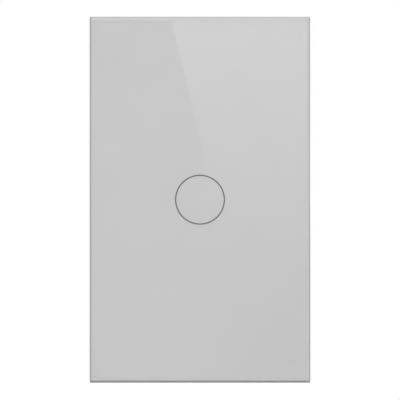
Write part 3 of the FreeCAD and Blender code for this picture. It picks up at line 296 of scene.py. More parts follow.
def framed_profile(half_x, half_z, corner, profile):
    """A profile of (inset, y) carried round a rectangle: each row is the rectangle drawn in by its inset,
    whose corners are quarter circles centre + r * (cos, sin), where r is the corner radius less the
    inset, down to a small least radius. Rows follow the profile, columns the outline."""
    inset = profile[:, 0][:, None, None, None]
    radius = np.maximum(corner - inset, LEAST_RADIUS)
    angle = np.linspace(0, math.pi / 2, CORNER_POINTS) + (np.arange(4) * math.pi / 2)[:, None]
    way = np.stack([np.cos(angle), np.sin(angle)], -1)[None]
    side = np.array([(1, 1), (-1, 1), (-1, -1), (1, -1)])[None, :, None]
    flat = side * (np.array([half_x, half_z]) - inset - radius) + radius * way
    flat = flat.reshape(len(profile), -1, 2)
    y = np.broadcast_to(profile[:, 1][:, None, None], flat[..., :1].shape)
    return np.concatenate([flat[..., :1], y, flat[..., 1:]], -1)


def tube_along(path, radius, sides):
    """A round tube: rings of points at path + radius * (cos v * normal + sin v * binormal), where the
    normal is the tangent crossed with Y and turned square. Rows follow the path."""
    tangent = np.gradient(path, axis=0)
    tangent /= np.linalg.norm(tangent, axis=1, keepdims=True)
    normal = np.cross(tangent, [0.0, 1.0, 0.0])
    normal /= np.linalg.norm(normal, axis=1, keepdims=True)
    binormal = np.cross(tangent, normal)
    v = np.linspace(0, 2 * math.pi, sides, endpoint=False)[None, :, None]
    return path[:, None] + radius * (np.cos(v) * normal[:, None] + np.sin(v) * binormal[:, None])


def wound_tube(name, low, high, outer, inner, centre, wire):
    """A coil wound close round an axis along Y, as one skin over all its turns: the radius is
    outer - r + sqrt(r * r - g * s * s), where r is half the wire, g is how deep the grooves go and s is
    how far a point lies from the middle of the nearest turn, and the turns climb by one wire a turn. Its
    ends and its bore are plain."""
    rows = WINDING_STEPS * round((high - low) / wire) + 1
    y = np.linspace(low, high, rows)[:, None]
    angle = np.linspace(0, 2 * math.pi, WINDING_SIDES, endpoint=False)[None, :]
    from_turn = np.mod(y - low - wire * angle / (2 * math.pi), wire) - wire / 2
    skin = outer - wire / 2 + np.sqrt((wire / 2) ** 2 - GROOVE * from_turn**2)
    radius = np.concatenate([skin, np.full((2, WINDING_SIDES), inner)])
    y = np.broadcast_to(np.concatenate([y, [[high], [low]]]), radius.shape)
    points = np.stack([centre.x + radius * np.cos(angle), y, centre.z + radius * np.sin(angle)], -1)
    faces = grid_faces(rows + 2, WINDING_SIDES, closed_rows=True, closed_columns=True)
    return mesh_piece(name, points.reshape(-1, 3), faces[:, ::-1], FINISHES["copper_winding"])


# Tools for materials


def add(tree, kind, inputs=None, **settings):
    """Adds a shader node, sets its properties, and fills its inputs with values or links. A link is given
    as a socket, or as a node for its first output."""
    node = tree.nodes.new("ShaderNode" + kind)
    for name, value in settings.items():
        setattr(node, name, value)
    for name, value in (inputs or {}).items():
        if isinstance(value, bpy.types.Node):
            value = value.outputs[0]
        if isinstance(value, bpy.types.NodeSocket):
            tree.links.new(value, node.inputs[name])
        else:
            node.inputs[name].default_value = value
    return node


def rgba(colour):
    """A colour with its alpha: a hex code or three linear numbers."""
    return [*(linear(colour) if isinstance(colour, str) else colour), 1.0]


def shade_of(colour, factor):
    """The same colour, lighter or darker by a factor."""
    return [min(1.0, c * factor) for c in rgba(colour)[:3]]


def blank(owner):
    """The node tree of a new material or world, emptied."""
    owner.use_nodes = True
    owner.node_tree.nodes.clear()
    return owner.node_tree


def surface_of(material):
    """A material's node tree, the socket that shows its surface, and the shader linked to it."""
    shown = material.node_tree.get_output_node("ALL").inputs["Surface"]
    return material.node_tree, shown, shown.links[0].from_socket


def made(name, pattern, *values, **constants):
    """A material whose shader takes the inputs that the pattern works out, and the constants."""
    material = bpy.data.materials.new(name)
    tree = blank(material)
    place = add(tree, "TexCoord").outputs["Object"]
    shader = add(tree, "BsdfPrincipled", {**constants, **pattern(tree, place, *values)})
    add(tree, "OutputMaterial", {"Surface": shader})
    return material


def clouded(tree, place, dark, light, size):
    """The colour wanders from dark to light in soft clouds of about this size."""
    clouds = add(tree, "TexNoise", {"Vector": place, "Scale": 1 / size})
    share = add(tree, "MapRange", {"Value": clouds, "From Min": NOISE_LOW, "From Max": NOISE_HIGH})
    colour = add(
        tree, "Mix", {0: share, MIX_LOW: rgba(dark), MIX_HIGH: rgba(light)}, data_type="RGBA"
    )
    return {"Base Color": colour.outputs[MIX_COLOUR]}


def grained(tree, place, size, rough, depth, drawn=(1.0, 1.0, 1.0), **over):
    """Grain of this size stands up by its depth and takes the gloss with it. It is drawn out along an
    axis by a scale of less than one there, and may lie over another relief."""
    axes = add(tree, "Mapping", {"Vector": place, "Scale": drawn})
    grain = add(tree, "TexNoise", {"Vector": axes, "Scale": 1 / size, "Detail": 4.0, "Roughness": 0.6})
    gloss = add(
        tree, "MapRange",
        {"Value": grain, "From Min": NOISE_LOW, "From Max": NOISE_HIGH,
         "To Min": rough - GLOSS_SPREAD, "To Max": rough + GLOSS_SPREAD},
    )
    relief = add(tree, "Bump", {"Height": grain, "Distance": depth, **over})
    return {"Roughness": gloss, "Normal": relief}


def lets_light_through(material):
    """Makes a material clear to the light on its way to what lies behind, and to nothing else."""
    tree, shown, surface = surface_of(material)
    ray = add(tree, "LightPath")
    lighting = add(
        tree, "Math", {0: ray.outputs["Is Shadow Ray"], 1: ray.outputs["Is Diffuse Ray"]},
        operation="MAXIMUM",
    )
    clear = add(tree, "BsdfTransparent", {"Color": rgba("fefefe")})
    both = add(tree, "MixShader", {0: lighting, 1: surface, 2: clear})
    tree.links.new(both.outputs[0], shown)
    return material


# Materials


def toughened_glass(tree, place):
    """Float glass, toughened and polished: clear and flat, so that it mirrors like still water."""
    return {"Base Color": rgba("fefefe"), "Roughness": 0.01, "IOR": 1.52, "Transmission Weight": 1.0}


def ground_edge(tree, place, colour):
    """Glass ground and polished over a print: the edge takes the print's grey from behind and reads as solid.
    Its grey is painted lighter at the front, as painted light, and darker down the side, as painted shade."""
    # Painted light and shade: the print's grey goes from lighter at the front to darker down the side
    depth = add(
        tree, "MapRange",
        {"Value": add(tree, "SeparateXYZ", {"Vector": place}).outputs["Y"],
         "From Min": GLASS_LOW.y + PAINTED_SHADE_FROM, "From Max": GLASS_LOW.y + PAINTED_SHADE_TO},
    )
    light, dark = shade_of(colour, FRONT_PAINTED_LIGHT), shade_of(colour, SIDE_PAINTED_SHADE)
    tone = add(
        tree, "Mix", {0: depth, MIX_LOW: rgba(light), MIX_HIGH: rgba(dark)}, data_type="RGBA"
    )
    return {
        "Base Color": tone.outputs[MIX_COLOUR], "Roughness": 0.12, "IOR": 1.52,
        "Specular IOR Level": 0.25,
    }


def printed_enamel(tree, place, colour):
    """Ceramic enamel, screen printed and fired: flat and even, with the faint tooth of the mesh, which is
    drawn coarser than its real 0.06 mm so that it shows."""
    return {
        **clouded(tree, place, shade_of(colour, 0.991), shade_of(colour, 1.007), size=9 * MM),
        **grained(tree, place, size=0.12 * MM, rough=0.55, depth=0.0002 * MM),
    }


def smoked_ink(tree, place, colour):
    """Translucent ink, screen printed over the light guide: dark, and a little uneven in density."""
    return {
        **clouded(tree, place, shade_of(colour, 0.85), shade_of(colour, 1.15), size=1.2 * MM),
        **grained(tree, place, size=0.12 * MM, rough=0.4, depth=0.003 * MM),
    }


def acrylic_foam(tree, place):
    """Closed-cell foam tape, die cut: matt, its bubbles open along the cut edge."""
    bubbles = add(tree, "TexVoronoi", {"Vector": place, "Scale": 1 / (0.25 * MM)})
    colour = add(
        tree, "Mix", {0: bubbles, MIX_LOW: rgba("bebdb8"), MIX_HIGH: rgba("d9d8d3")}, data_type="RGBA"
    )
    cut = add(tree, "Bump", {"Height": bubbles, "Distance": 0.03 * MM})
    return {
        **grained(tree, place, size=0.6 * MM, rough=0.88, depth=0.01 * MM, Normal=cut),
        "Base Color": colour.outputs[MIX_COLOUR], "IOR": 1.47,
    }


def moulded(tree, place, colour, size, rough, depth):
    """Injection-moulded plastic: the spark-eroded grain of the mould, and faint flow clouds where the
    melt met, much larger than the grain."""
    return {
        **clouded(tree, place, shade_of(colour, 0.965), shade_of(colour, 1.02), size=14 * MM),
        **grained(tree, place, size, rough, depth),
    }


def glass_filled(tree, place, colour):
    """Polyamide with chopped glass, moulded: fibres lie in its skin as short faint streaks."""
    base = moulded(tree, place, colour, size=0.3 * MM, rough=0.45, depth=0.012 * MM)
    fibres = grained(
        tree, place, size=0.12 * MM, rough=0.45, depth=0.008 * MM, drawn=(1.0, 0.2, 1.0),
        Normal=base["Normal"],
    )
    return {**base, **fibres}


def galvanised(tree, place):
    """Steel strip, hot-dip galvanised and skin passed: small zinc crystals, each with its own grey and
    gloss, under the faint upright lines of the rolls."""
    spangle = add(tree, "TexVoronoi", {"Vector": place, "Scale": 1 / (1.3 * MM)})
    tone = add(tree, "SeparateColor", {"Color": spangle.outputs["Color"]})
    colour = add(
        tree, "Mix", {0: tone, MIX_LOW: rgba("a9adaf"), MIX_HIGH: rgba("b8bcbe")}, data_type="RGBA"
    )
    gloss = add(tree, "MapRange", {"Value": tone, "To Min": 0.38, "To Max": 0.44})
    rolled = grained(tree, place, size=0.3 * MM, rough=0.4, depth=0.006 * MM, drawn=(1.0, 1.0, 0.08))
    return {**rolled, "Base Color": colour.outputs[MIX_COLOUR], "Roughness": gloss}


def stamped(tree, place, dark, light):
    """Copper alloy strip, stamped: soft tarnish in the colour and the draw lines of the press."""
    return {
        **clouded(tree, place, dark, light, size=2 * MM),
        **grained(tree, place, size=0.18 * MM, rough=0.3, depth=0.004 * MM, drawn=(1.0, 0.1, 1.0)),
    }


def frosted_acrylic(tree, place):
    """Acrylic, moulded and frosted: milky, with a soft gloss, because light spreads inside it."""
    return {
        **clouded(tree, place, "dfe3e4", "eff2f2", size=3 * MM),
        **grained(tree, place, size=0.2 * MM, rough=0.3, depth=0.004 * MM),
        "IOR": 1.49, "Subsurface Weight": 0.35, "Subsurface Scale": 1.2 * MM,
        "Subsurface Radius": (1.0, 1.0, 1.0),
    }


def solder_mask(tree, place):
    """Glass laminate with copper under green lacquer: broad copper areas, parted by narrow gaps, and in
    some of them bundles of fine tracks, all a little raised under a glassy skin. The cut edge shows the
    bare yellow-green laminate."""
    area, pitch = 5 * MM, 0.8 * MM
    # Of the areas, the share that is cut into tracks, and the share whose tracks would run level
    tracked, level = 0.45, 0.5
    # Soft steps up to copper: beside the border of an area, in areas, and beside a track, in pitches
    border, beside = (0.05, 0.07), (0.2, 0.26)
    # A face whose normal has less than this along Y is the cut edge
    edge_on = 0.5
    axes = add(tree, "SeparateXYZ", {"Vector": place})
    flat = add(tree, "CombineXYZ", {"X": axes.outputs["X"], "Z": axes.outputs["Z"]})
    cell = {"Vector": flat, "Scale": 1 / area, "Randomness": 0.75}
    first = add(tree, "TexVoronoi", cell, distance="CHEBYCHEV")
    second = add(tree, "TexVoronoi", cell, distance="CHEBYCHEV", feature="F2")
    apart = add(tree, "Math", {0: second, 1: first}, operation="SUBTRACT")
    filled = add(tree, "MapRange", {"Value": apart, "From Min": border[0], "From Max": border[1]})
    draw = add(tree, "SeparateColor", {"Color": first.outputs["Color"]})
    upright = add(tree, "Math", {0: draw.outputs["Green"], 1: level}, operation="GREATER_THAN")
    across = add(tree, "Mix", {"Factor": upright, "A": axes.outputs["Z"], "B": axes.outputs["X"]})
    wave = add(tree, "Math", {0: across, 1: pitch / 2}, operation="PINGPONG")
    tracks = add(
        tree, "MapRange", {"Value": wave, "From Min": beside[0] * pitch, "From Max": beside[1] * pitch}
    )
    whole = add(tree, "Math", {0: draw.outputs["Red"], 1: tracked}, operation="GREATER_THAN")
    either = add(tree, "Math", {0: whole, 1: tracks}, operation="MAXIMUM")
    copper = add(tree, "Math", {0: either, 1: filled}, operation="MINIMUM")
    lacquer = add(
        tree, "Mix", {0: copper, MIX_LOW: rgba("1b4f35"), MIX_HIGH: rgba("2d7348")}, data_type="RGBA"
    )
    facing = add(tree, "SeparateXYZ", {"Vector": add(tree, "TexCoord").outputs["Normal"]})
    flat_on = add(tree, "Math", {0: facing.outputs["Y"]}, operation="ABSOLUTE")
    cut = add(tree, "Math", {0: flat_on, 1: edge_on}, operation="LESS_THAN")
    colour = add(
        tree, "Mix", {0: cut, MIX_LOW: lacquer.outputs[MIX_COLOUR], MIX_HIGH: rgba("8f9a63")},
        data_type="RGBA",
    )
    raised = add(tree, "Bump", {"Height": copper, "Distance": 0.035 * MM})
    return {
        **grained(tree, place, size=1.5 * MM, rough=0.27, depth=0.004 * MM, Normal=raised),
        "Base Color": colour.outputs[MIX_COLOUR], "IOR": 1.55,
    }


def plain(tree, place, dark, light, size, rough, depth):
    """A small piece's own colour, clouded at six times its grain."""
    return {**clouded(tree, place, dark, light, 6 * size), **grained(tree, place, size, rough, depth)}


def finish_library(colours):
    """One finish for each material slot of the record, and the second finishes of some pieces. The
    numbers of a moulded or a plain one are the size of its grain, its roughness and its relief."""
    enamel = colours.enamel
    metal = {"Metallic": 1.0}
    return {
        "toughened_glass": lets_light_through(made("Toughened float glass", toughened_glass)),
        # The ground edge's grey is painted lighter at the front and darker down the side: painted light and
        # shade
        "ground_edge": lets_light_through(made("Ground glass edge, painted light and shade", ground_edge, enamel)),
        "grey_enamel": made("Fired grey enamel", printed_enamel, enamel),
        "ring_ink": made("Smoked translucent ink", smoked_ink, colours.ring),
        "tape_foam": made("Acrylic foam tape", acrylic_foam),
        # Satin ABS: a soft, even grain
        "white_abs": made("Satin white ABS", moulded, colours.base, 0.4 * MM, 0.42, 0.01 * MM, IOR=1.52),
        # Matt ABS: a closer, deeper grain
        "grey_abs": made("Matt grey ABS", moulded, colours.carrier, 0.35 * MM, 0.48, 0.012 * MM, IOR=1.52),
        # Flame-retardant polycarbonate: glossier and creamier, with a coarser grain
        "white_polycarbonate": made(
            "Flame-retardant polycarbonate", moulded, colours.housing, 0.6 * MM, 0.38, 0.016 * MM, IOR=1.58
        ),
        "terminal_polyamide": made("Glass-filled polyamide", glass_filled, colours.terminal, IOR=1.53),
        "galvanised_steel": made("Galvanised strip steel", galvanised, **metal),
        # Cold-headed steel, zinc plated: light bluish grey with small duller patches
        "zinc_plated_screw": made(
            "Bright zinc plate", plain, "a7adb3", "ccd0d2", 0.15 * MM, 0.28, 0.005 * MM, **metal
        ),
        # The same plate in a head's recess, rougher and painted darker there as painted shade
        "recess_painted_shade": made(
            "Zinc plate painted dark as shade", plain, "5f656a", "7b8186", 0.15 * MM, 0.5, 0.005 * MM, **metal
        ),
        "brass": made("Stamped brass", stamped, "c49d58", "d3ad64", **metal),
        "tinned_brass": made("Tin-plated brass", stamped, "aeb0ad", "cfd0cd", **metal),
        # Drawn wire: bright, its die lines too fine to see but as a soft gloss
        "spring_steel": made(
            "Drawn stainless wire", plain, "a9a8a4", "cfcec9", 0.1 * MM, 0.26, 0.003 * MM, **metal
        ),
        "acrylic": made("Frosted acrylic", frosted_acrylic),
        # Silicone with phosphor, cast into the lamp: pale yellow, soft gloss
        "lamp_resin": made("Phosphor silicone", plain, "d9c65c", "efe08a", 0.3 * MM, 0.35, 0.01 * MM),
        "circuit_board": made("Solder mask on laminate", solder_mask),
        # Transfer-moulded epoxy: near black, with the sparkle of its silica
        "chip_resin": made("Moulded epoxy", plain, "161719", "222326", 0.12 * MM, 0.55, 0.008 * MM),
        # Sintered ceramic: warm brown grey, close grained
        "ceramic_chip": made("Sintered ceramic", plain, "6b5844", "8c765c", 0.4 * MM, 0.4, 0.006 * MM),
        # Pressed tinplate: silvery, slightly wavy
        "tin_plate": made(
            "Pressed tinplate", plain, "bbbdbb", "cdcecb", 0.8 * MM, 0.24, 0.003 * MM, **metal
        ),
        # Nylon, moulded: black, satin
        "connector_nylon": made("Black nylon", plain, "17181a", "232427", 0.2 * MM, 0.5, 0.008 * MM),
        # Lead-free solder: dull silver, wrinkled where it froze
        "solder": made("Lead-free solder", plain, "a4a6a6", "c6c7c6", 0.25 * MM, 0.33, 0.02 * MM, **metal),
        # Polyester box, moulded: golden yellow, smooth
        "capacitor_box": made("Polyester box", plain, "c9a132", "dbb447", 0.5 * MM, 0.4, 0.008 * MM),
        # Epoxy powder, dipped and fused: bright blue with an orange-peel skin
        "varistor_coat": made("Dipped epoxy", plain, "1c4f96", "2c63ad", 0.7 * MM, 0.35, 0.03 * MM),
        # Phenolic, moulded: brown black
        "fuse_body": made("Moulded phenolic", plain, "241d19", "332a24", 0.3 * MM, 0.42, 0.01 * MM),
        # Aluminium, impact extruded: the bare top of a capacitor's can, satin
        "aluminium_can": made(
            "Extruded aluminium can", plain, "b6b9bb", "cbced0", 0.3 * MM, 0.34, 0.004 * MM, **metal
        ),
        # The same vinyl where it carries the pale stripe of the minus side
        "sleeve_stripe": made("Striped vinyl", plain, "93a4b8", "a5b4c6", 1.0 * MM, 0.3, 0.006 * MM),
        # Vinyl sleeve, shrunk on: dark blue, taut and glossy
        "capacitor_sleeve": made("Shrunk vinyl", plain, "1d2430", "293241", 1.0 * MM, 0.28, 0.006 * MM),
        # Ferrite, sintered: charcoal, matt, slightly porous
        "ferrite": made("Sintered ferrite", plain, "2b2b2c", "3c3b3b", 0.15 * MM, 0.62, 0.015 * MM),
        # Polyester tape over wire: yellow, glossy, ridged by the wire beneath
        "winding_tape": made("Polyester tape", plain, "cfae3c", "e2c65a", 0.35 * MM, 0.25, 0.03 * MM),
        # Thermoplastic polyester, moulded: deep blue, half gloss
        "relay_plastic": made("Blue polyester", plain, "22437a", "284a84", 0.35 * MM, 0.36, 0.01 * MM),
        # Soft iron with a flash of nickel: grey, satin
        "soft_iron": made(
            "Flashed soft iron", plain, "989896", "a5a4a1", 0.2 * MM, 0.36, 0.006 * MM, **metal
        ),
        # Nylon without pigment, moulded: off-white
        "spool_nylon": made("Natural nylon", plain, "d8d3c2", "e6e2d4", 0.3 * MM, 0.45, 0.008 * MM),
        # Copper wire, enamelled: red brown under a clear coat
        "copper_winding": made(
            "Enamelled copper", plain, "8c3f22", "b05a31", 0.1 * MM, 0.3, 0.005 * MM, **metal
        ),
        "contact_bronze": made("Phosphor bronze", stamped, "b37e48", "bf8a52", **metal),
    }


FINISHES = {}


def node_slot(node):
    """The record's material slot that a node of the frame was packed with."""
    return frame["nodes"][node].data.materials[0].name.split(".")[0]


def dress(*nodes):
    """Gives each named node of the frame the finish of its own slot."""
    for node in nodes:
        slot = node_slot(node)
        for place in frame["nodes"][node].material_slots:
            place.material = FINISHES[slot]


def on_a_side(line, box):
    """Whether an edge lies on one of the sides of a box, given as its two corners."""
    return any(
        all(abs(point.co[axis] - corner[axis]) < ON_A_SIDE for point in line.verts)
        for corner in box
        for axis in range(3)
    )


def softened(body, node, edge=0.0):
    """Copies a node's mesh, merges it, and finishes the copy: smooth over its round faces, and with the
    sharp edges that stick out broken by a small bevel where an edge width is given."""
    shape = bmesh.new()
    shape.from_mesh(frame["nodes"][node].data)
    bmesh.ops.remove_doubles(shape, verts=shape.verts, dist=MERGE)
    if edge:
        bmesh.ops.dissolve_limit(shape, angle_limit=FLAT_ANGLE, verts=shape.verts, edges=shape.edges)
    for face in shape.faces:
        face.smooth = True
    for line in shape.edges:
        line.smooth = len(line.link_faces) == 2 and line.calc_face_angle() < SHARP_ANGLE
    if edge:
        weight = shape.edges.layers.float.new("bevel_weight_edge")
        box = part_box(node)
        for line in shape.edges:
            broken = line.is_convex and not line.smooth
            line[weight] = float(broken and (node not in RIBBED or on_a_side(line, box)))
    mesh = bpy.data.meshes.new(f"{node}_finished")
    shape.to_mesh(mesh)
    shape.free()
    # The copied corner normals belong to the loose triangles, so the merged mesh works out its own
    old_normals = mesh.attributes.get("custom_normal")
    if old_normals:
        mesh.attributes.remove(old_normals)
    piece = bpy.data.objects.new(mesh.name, mesh)
    bpy.context.scene.collection.objects.link(piece)
    slot = node_slot(node)
    mesh.materials.clear()
    mesh.materials.append(FINISHES[slot])
    if edge:
        bevel = piece.modifiers.new("Broken edges", "BEVEL")
        bevel.width = edge
        bevel.segments = 2
        bevel.limit_method = "WEIGHT"
        bevel.use_clamp_overlap = False
        bevel.harden_normals = True
    return stand_in(piece, body, slot, node)


def soften_all(body, **edges):
    """Softens the nodes of a body, each with the width of its own broken edges."""
    for node, edge in edges.items():
        softened(body, node, edge)


def of_faces(piece, kind):
    """The normals or the centres of a piece's faces, one to a row."""
    values = np.empty(3 * len(piece.data.polygons))
    piece.data.polygons.foreach_get(kind, values)
    return values.reshape(-1, 3)


def second_finish(piece, finish, chosen):
    """Gives the chosen faces of a piece another finish."""
    mesh = piece.data
    mesh.materials.append(FINISHES[finish])
    index = np.zeros(len(mesh.polygons), int)
    mesh.polygons.foreach_get("material_index", index)
    index[chosen] = len(mesh.materials) - 1
    mesh.polygons.foreach_set("material_index", index)


def screws(body, node, way=1.0):
    """Softens a node of screws, whose heads look along Y or, with a way of -1, against it. The floors of
    their recesses, which face as the heads do but lie deeper, get a rougher zinc painted darker, as painted
    shade."""
    piece = softened(body, node)
    facing = way * of_faces(piece, "normal")[:, 1] > FACES_BACK
    height = way * of_faces(piece, "center")[:, 1]
    # The recess floors are painted darker: painted shade
    second_finish(piece, "recess_painted_shade", facing & (height < height[facing].max() - RECESS))


def stand_in(piece, body, slot, *nodes):
    """Rides a new piece on its body and hides the nodes that it stands for. The slot is not used."""
    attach(piece, body)
    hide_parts(*nodes)
    return piece


# Pieces


class SWITCH_OT_finishes(bpy.types.Operator):
    """Prepares the finishes from the chosen colours"""

    bl_idname = "switch.finishes"
    bl_label = "Finishes"

    def execute(self, context):
        FINISHES.update(finish_library(context.scene.switch_colours))
        return {"FINISHED"}


class SWITCH_OT_glass(bpy.types.Operator):
    """Makes the front glass: a flat sheet whose front edge is ground to a quarter round.

    The profile goes from the middle of the front to the edge, round the arc
    (inset, y) = r * (1 - sin t, 1 - cos t), down the side, over a small chamfer and back to the
    middle behind. It is carried round a rounded rectangle."""

    bl_idname = "switch.glass"
    bl_label = "Front glass"

    def execute(self, context):
        sizes = context.scene.switch_sizes
        half_x, half_z = GLASS_HIGH.x, GLASS_HIGH.z
        front, back = GLASS_LOW.y, GLASS_HIGH.y - sizes.air_film
        t = np.linspace(0, math.pi / 2, ARC_POINTS)
        r = sizes.edge_radius
        arc = np.stack([r * (1 - np.sin(t)), front + r * (1 - np.cos(t))], 1)
        c = sizes.back_edge
        inner = r + c
        profile = np.concatenate([
            [(inner, front)], arc, [(0.0, front + r + c)], [(0.0, back - c)], [(c, back)], [(inner, back)]
        ])
        ring = framed_profile(half_x, half_z, sizes.corner_radius, profile)
        rows, columns = ring.shape[:2]
        faces = grid_faces(rows, columns, closed_columns=True)[:, ::-1]
        caps = [np.arange(columns), ((rows - 1) * columns + np.arange(columns))[::-1]]
        piece = mesh_piece(
            "glass_sheet", ring.reshape(-1, 3), [*faces, *caps], FINISHES["toughened_glass"]
        )
        # The ground edge, with its painted light and shade, is all but the flat rings of faces in front and
        # behind, which come first and last
        second_finish(piece, "ground_edge", slice(columns, (rows - 2) * columns))
        stand_in(piece, "panel", "toughened_glass", "glass_panel")
        return {"FINISHED"}


class SWITCH_OT_print(bpy.types.Operator):
    """Finishes the enamel and the ring printed behind the glass"""

    bl_idname = "switch.print"
    bl_label = "Printed layer"

    def execute(self, context):
        dress("back_paint", "touch_ring")
        return {"FINISHED"}


class SWITCH_OT_carrier(bpy.types.Operator):
    """Finishes the tape, the carrier and its hooks"""

    bl_idname = "switch.carrier"
    bl_label = "Carrier"

    def execute(self, context):
        soften_all("panel", panel_tape=0.0, panel_carrier=MOULDED_EDGE, carrier_hooks=FINE_EDGE)
        return {"FINISHED"}


class SWITCH_OT_spring(bpy.types.Operator):
    """Makes the touch spring: a wire on the helix (r cos u, y0 + rise * u, r sin u) with flat ends"""

    bl_idname = "switch.spring"
    bl_label = "Touch spring"

    def execute(self, context):
        sizes = context.scene.switch_sizes
        wire = sizes.wire / 2
        radius = SPRING_HIGH.x - wire
        u = np.linspace(0, 2 * math.pi * sizes.turns, SPRING_STEPS * sizes.turns + 1)
        high, low = SPRING_HIGH.y - SPRING_END * wire, SPRING_LOW.y + SPRING_END * wire
        path = np.stack([radius * np.cos(u), high + (low - high) * u / u[-1], radius * np.sin(u)], 1)
        rings = tube_along(path, wire, SPRING_SIDES)
        rows, columns = rings.shape[:2]
        faces = grid_faces(rows, columns, closed_columns=True)
        caps = [np.arange(columns)[::-1], (rows - 1) * columns + np.arange(columns)]
        piece = mesh_piece(
            "touch_spring_wire", rings.reshape(-1, 3), [*faces, *caps], FINISHES["spring_steel"]
        )
        stand_in(piece, "switch_base", "spring_steel", "touch_spring")
        return {"FINISHED"}


class SWITCH_OT_base(bpy.types.Operator):
    """Finishes the strap, frame, cover and what stands on them"""

    bl_idname = "switch.base"
    bl_label = "Base"

    def execute(self, context):
        soften_all(
            "switch_base", mounting_strap=FINE_EDGE, mounting_frame=MOULDED_EDGE,
            board_cover=MOULDED_EDGE, light_guide=FINE_EDGE,
        )
        screws("switch_base", "strap_screws")
        screws("switch_base", "cover_screws", -1.0)
        return {"FINISHED"}


class SWITCH_OT_housing(bpy.types.Operator):
    """Finishes the housing in the wall and its screws"""

    bl_idname = "switch.housing"
    bl_label = "Housing"

    def execute(self, context):
        softened("switch_base", "rear_housing", MOULDED_EDGE)
        screws("switch_base", "housing_screws")
        return {"FINISHED"}


class SWITCH_OT_boards(bpy.types.Operator):
    """Finishes the sensor board, the connector and what is soldered to them"""

    bl_idname = "switch.boards"
    bl_label = "Sensor board"

    def execute(self, context):
        dress("sensor_board", "wireless_board", "header_pins")
        soften_all(
            "switch_base", indicator_leds=FINE_EDGE, touch_chip=FINE_EDGE, sensor_passives=FINE_EDGE,
            wireless_shield=MOULDED_EDGE, board_socket=MOULDED_EDGE, board_header=MOULDED_EDGE,
        )
        return {"FINISHED"}


class SWITCH_OT_power(bpy.types.Operator):
    """Finishes the mains board and its parts, and winds the choke"""

    bl_idname = "switch.power"
    bl_label = "Power board"

    def execute(self, context):
        dress("power_board")
        soften_all(
            "switch_base", solder_joints=0.0, film_capacitor=MOULDED_EDGE, varistor=0.0, fuse=0.0,
            transformer_core=MOULDED_EDGE, transformer_winding=TAPED_EDGE, choke=0.0,
            rectifier=MOULDED_EDGE,
        )
        low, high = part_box("choke")
        wire = context.scene.switch_sizes.choke_wire
        bore = CHOKE_WAIST / 2
        coil = wound_tube(
            "choke_winding", low.y + CHOKE_FLANGE, high.y - CHOKE_FLANGE, bore + CHOKE_LAYERS * wire, bore,
            (low + high) / 2, wire,
        )
        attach(coil, "switch_base")
        return {"FINISHED"}


class SWITCH_OT_capacitors(bpy.types.Operator):
    """Finishes the electrolytic capacitors: bare tops, and a pale stripe down the minus side"""

    bl_idname = "switch.capacitors"
    bl_label = "Capacitors"

    def execute(self, context):
        piece = softened("switch_base", "smoothing_capacitors")
        y, z = of_faces(piece, "normal")[:, 1:].T
        second_finish(piece, "aluminium_can", y > FACES_BACK)
        second_finish(piece, "sleeve_stripe", (z > FACES_UP) & (np.abs(y) < 1 - FACES_UP))
        return {"FINISHED"}


class SWITCH_OT_relay(bpy.types.Operator):
    """Finishes the relay's case and works, and winds its coil"""

    bl_idname = "switch.relay"
    bl_label = "Relay"

    def execute(self, context):
        soften_all(
            "switch_base", relay_case=MOULDED_EDGE, relay_base=MOULDED_EDGE, relay_yoke=FINE_EDGE,
            relay_core=0.0, relay_bobbin=FINE_EDGE, relay_fixed_contact=0.0,
        )
        soften_all("armature", relay_armature=FINE_EDGE, relay_moving_contact=0.0)
        low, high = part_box("relay_coil")
        coil = wound_tube(
            "relay_coil_winding", low.y, high.y, (high.x - low.x) / 2, COIL_BORE / 2, (low + high) / 2,
            context.scene.switch_sizes.relay_wire,
        )
        stand_in(coil, "switch_base", "copper_winding", "relay_coil")
        return {"FINISHED"}


class SWITCH_OT_terminals(bpy.types.Operator):
    """Finishes the terminal block, its contacts, cages and screws"""

    bl_idname = "switch.terminals"
    bl_label = "Terminals"

    def execute(self, context):
        dress("terminal_contacts")
        softened("switch_base", "terminal_block", MOULDED_EDGE)
        for body in frame["bodies"]:
            if body.startswith("cage_"):
                softened(body, f"clamp_{body}")
            elif body.startswith("screw_"):
                screws(body, f"clamp_{body}")
        return {"FINISHED"}


# Studio


def soft_box(scene, name, stand, power):
    """A rectangular lamp of its size at its place, turned towards the middle of the switch."""
    place, size = stand
    lamp = bpy.data.objects.new(name, bpy.data.lights.new(name, "AREA"))
    scene.collection.objects.link(lamp)
    lamp.data.shape = "RECTANGLE"
    lamp.data.size, lamp.data.size_y = size
    lamp.data.energy = power
    lamp.location = place
    lamp.rotation_euler = (-Vector(place)).to_track_quat("-Z", "Y").to_euler()


def room(scene, studio):
    """A white world to the camera, to gloss and through glass, and a softer one to light the object."""
    world = bpy.data.worlds.new("Room")
    scene.world = world
    tree = blank(world)
    ray = add(tree, "LightPath")
    direct = add(
        tree, "Math", {0: ray.outputs["Is Camera Ray"], 1: ray.outputs["Is Glossy Ray"]},
        operation="MAXIMUM",
    )
    seen = add(
        tree, "Math", {0: direct.outputs[0], 1: ray.outputs["Is Transmission Ray"]}, operation="MAXIMUM"
    )
    way = add(tree, "SeparateXYZ", {"Vector": add(tree, "TexCoord").outputs["Generated"]})
    ambient = add(
        tree, "MapRange",
        {"Value": way.outputs["Z"], "From Min": -HORIZON, "From Max": HORIZON,
         "To Min": studio.ambient_low, "To Max": studio.ambient_high},
    )
    strength = add(tree, "Mix", {"Factor": seen.outputs[0], "A": ambient.outputs["Result"], "B": 1.0})
    light = add(
        tree, "Background", {"Color": (1.0, 1.0, 1.0, 1.0), "Strength": strength.outputs["Result"]}
    )
    add(tree, "OutputWorld", {"Surface": light.outputs["Background"]})


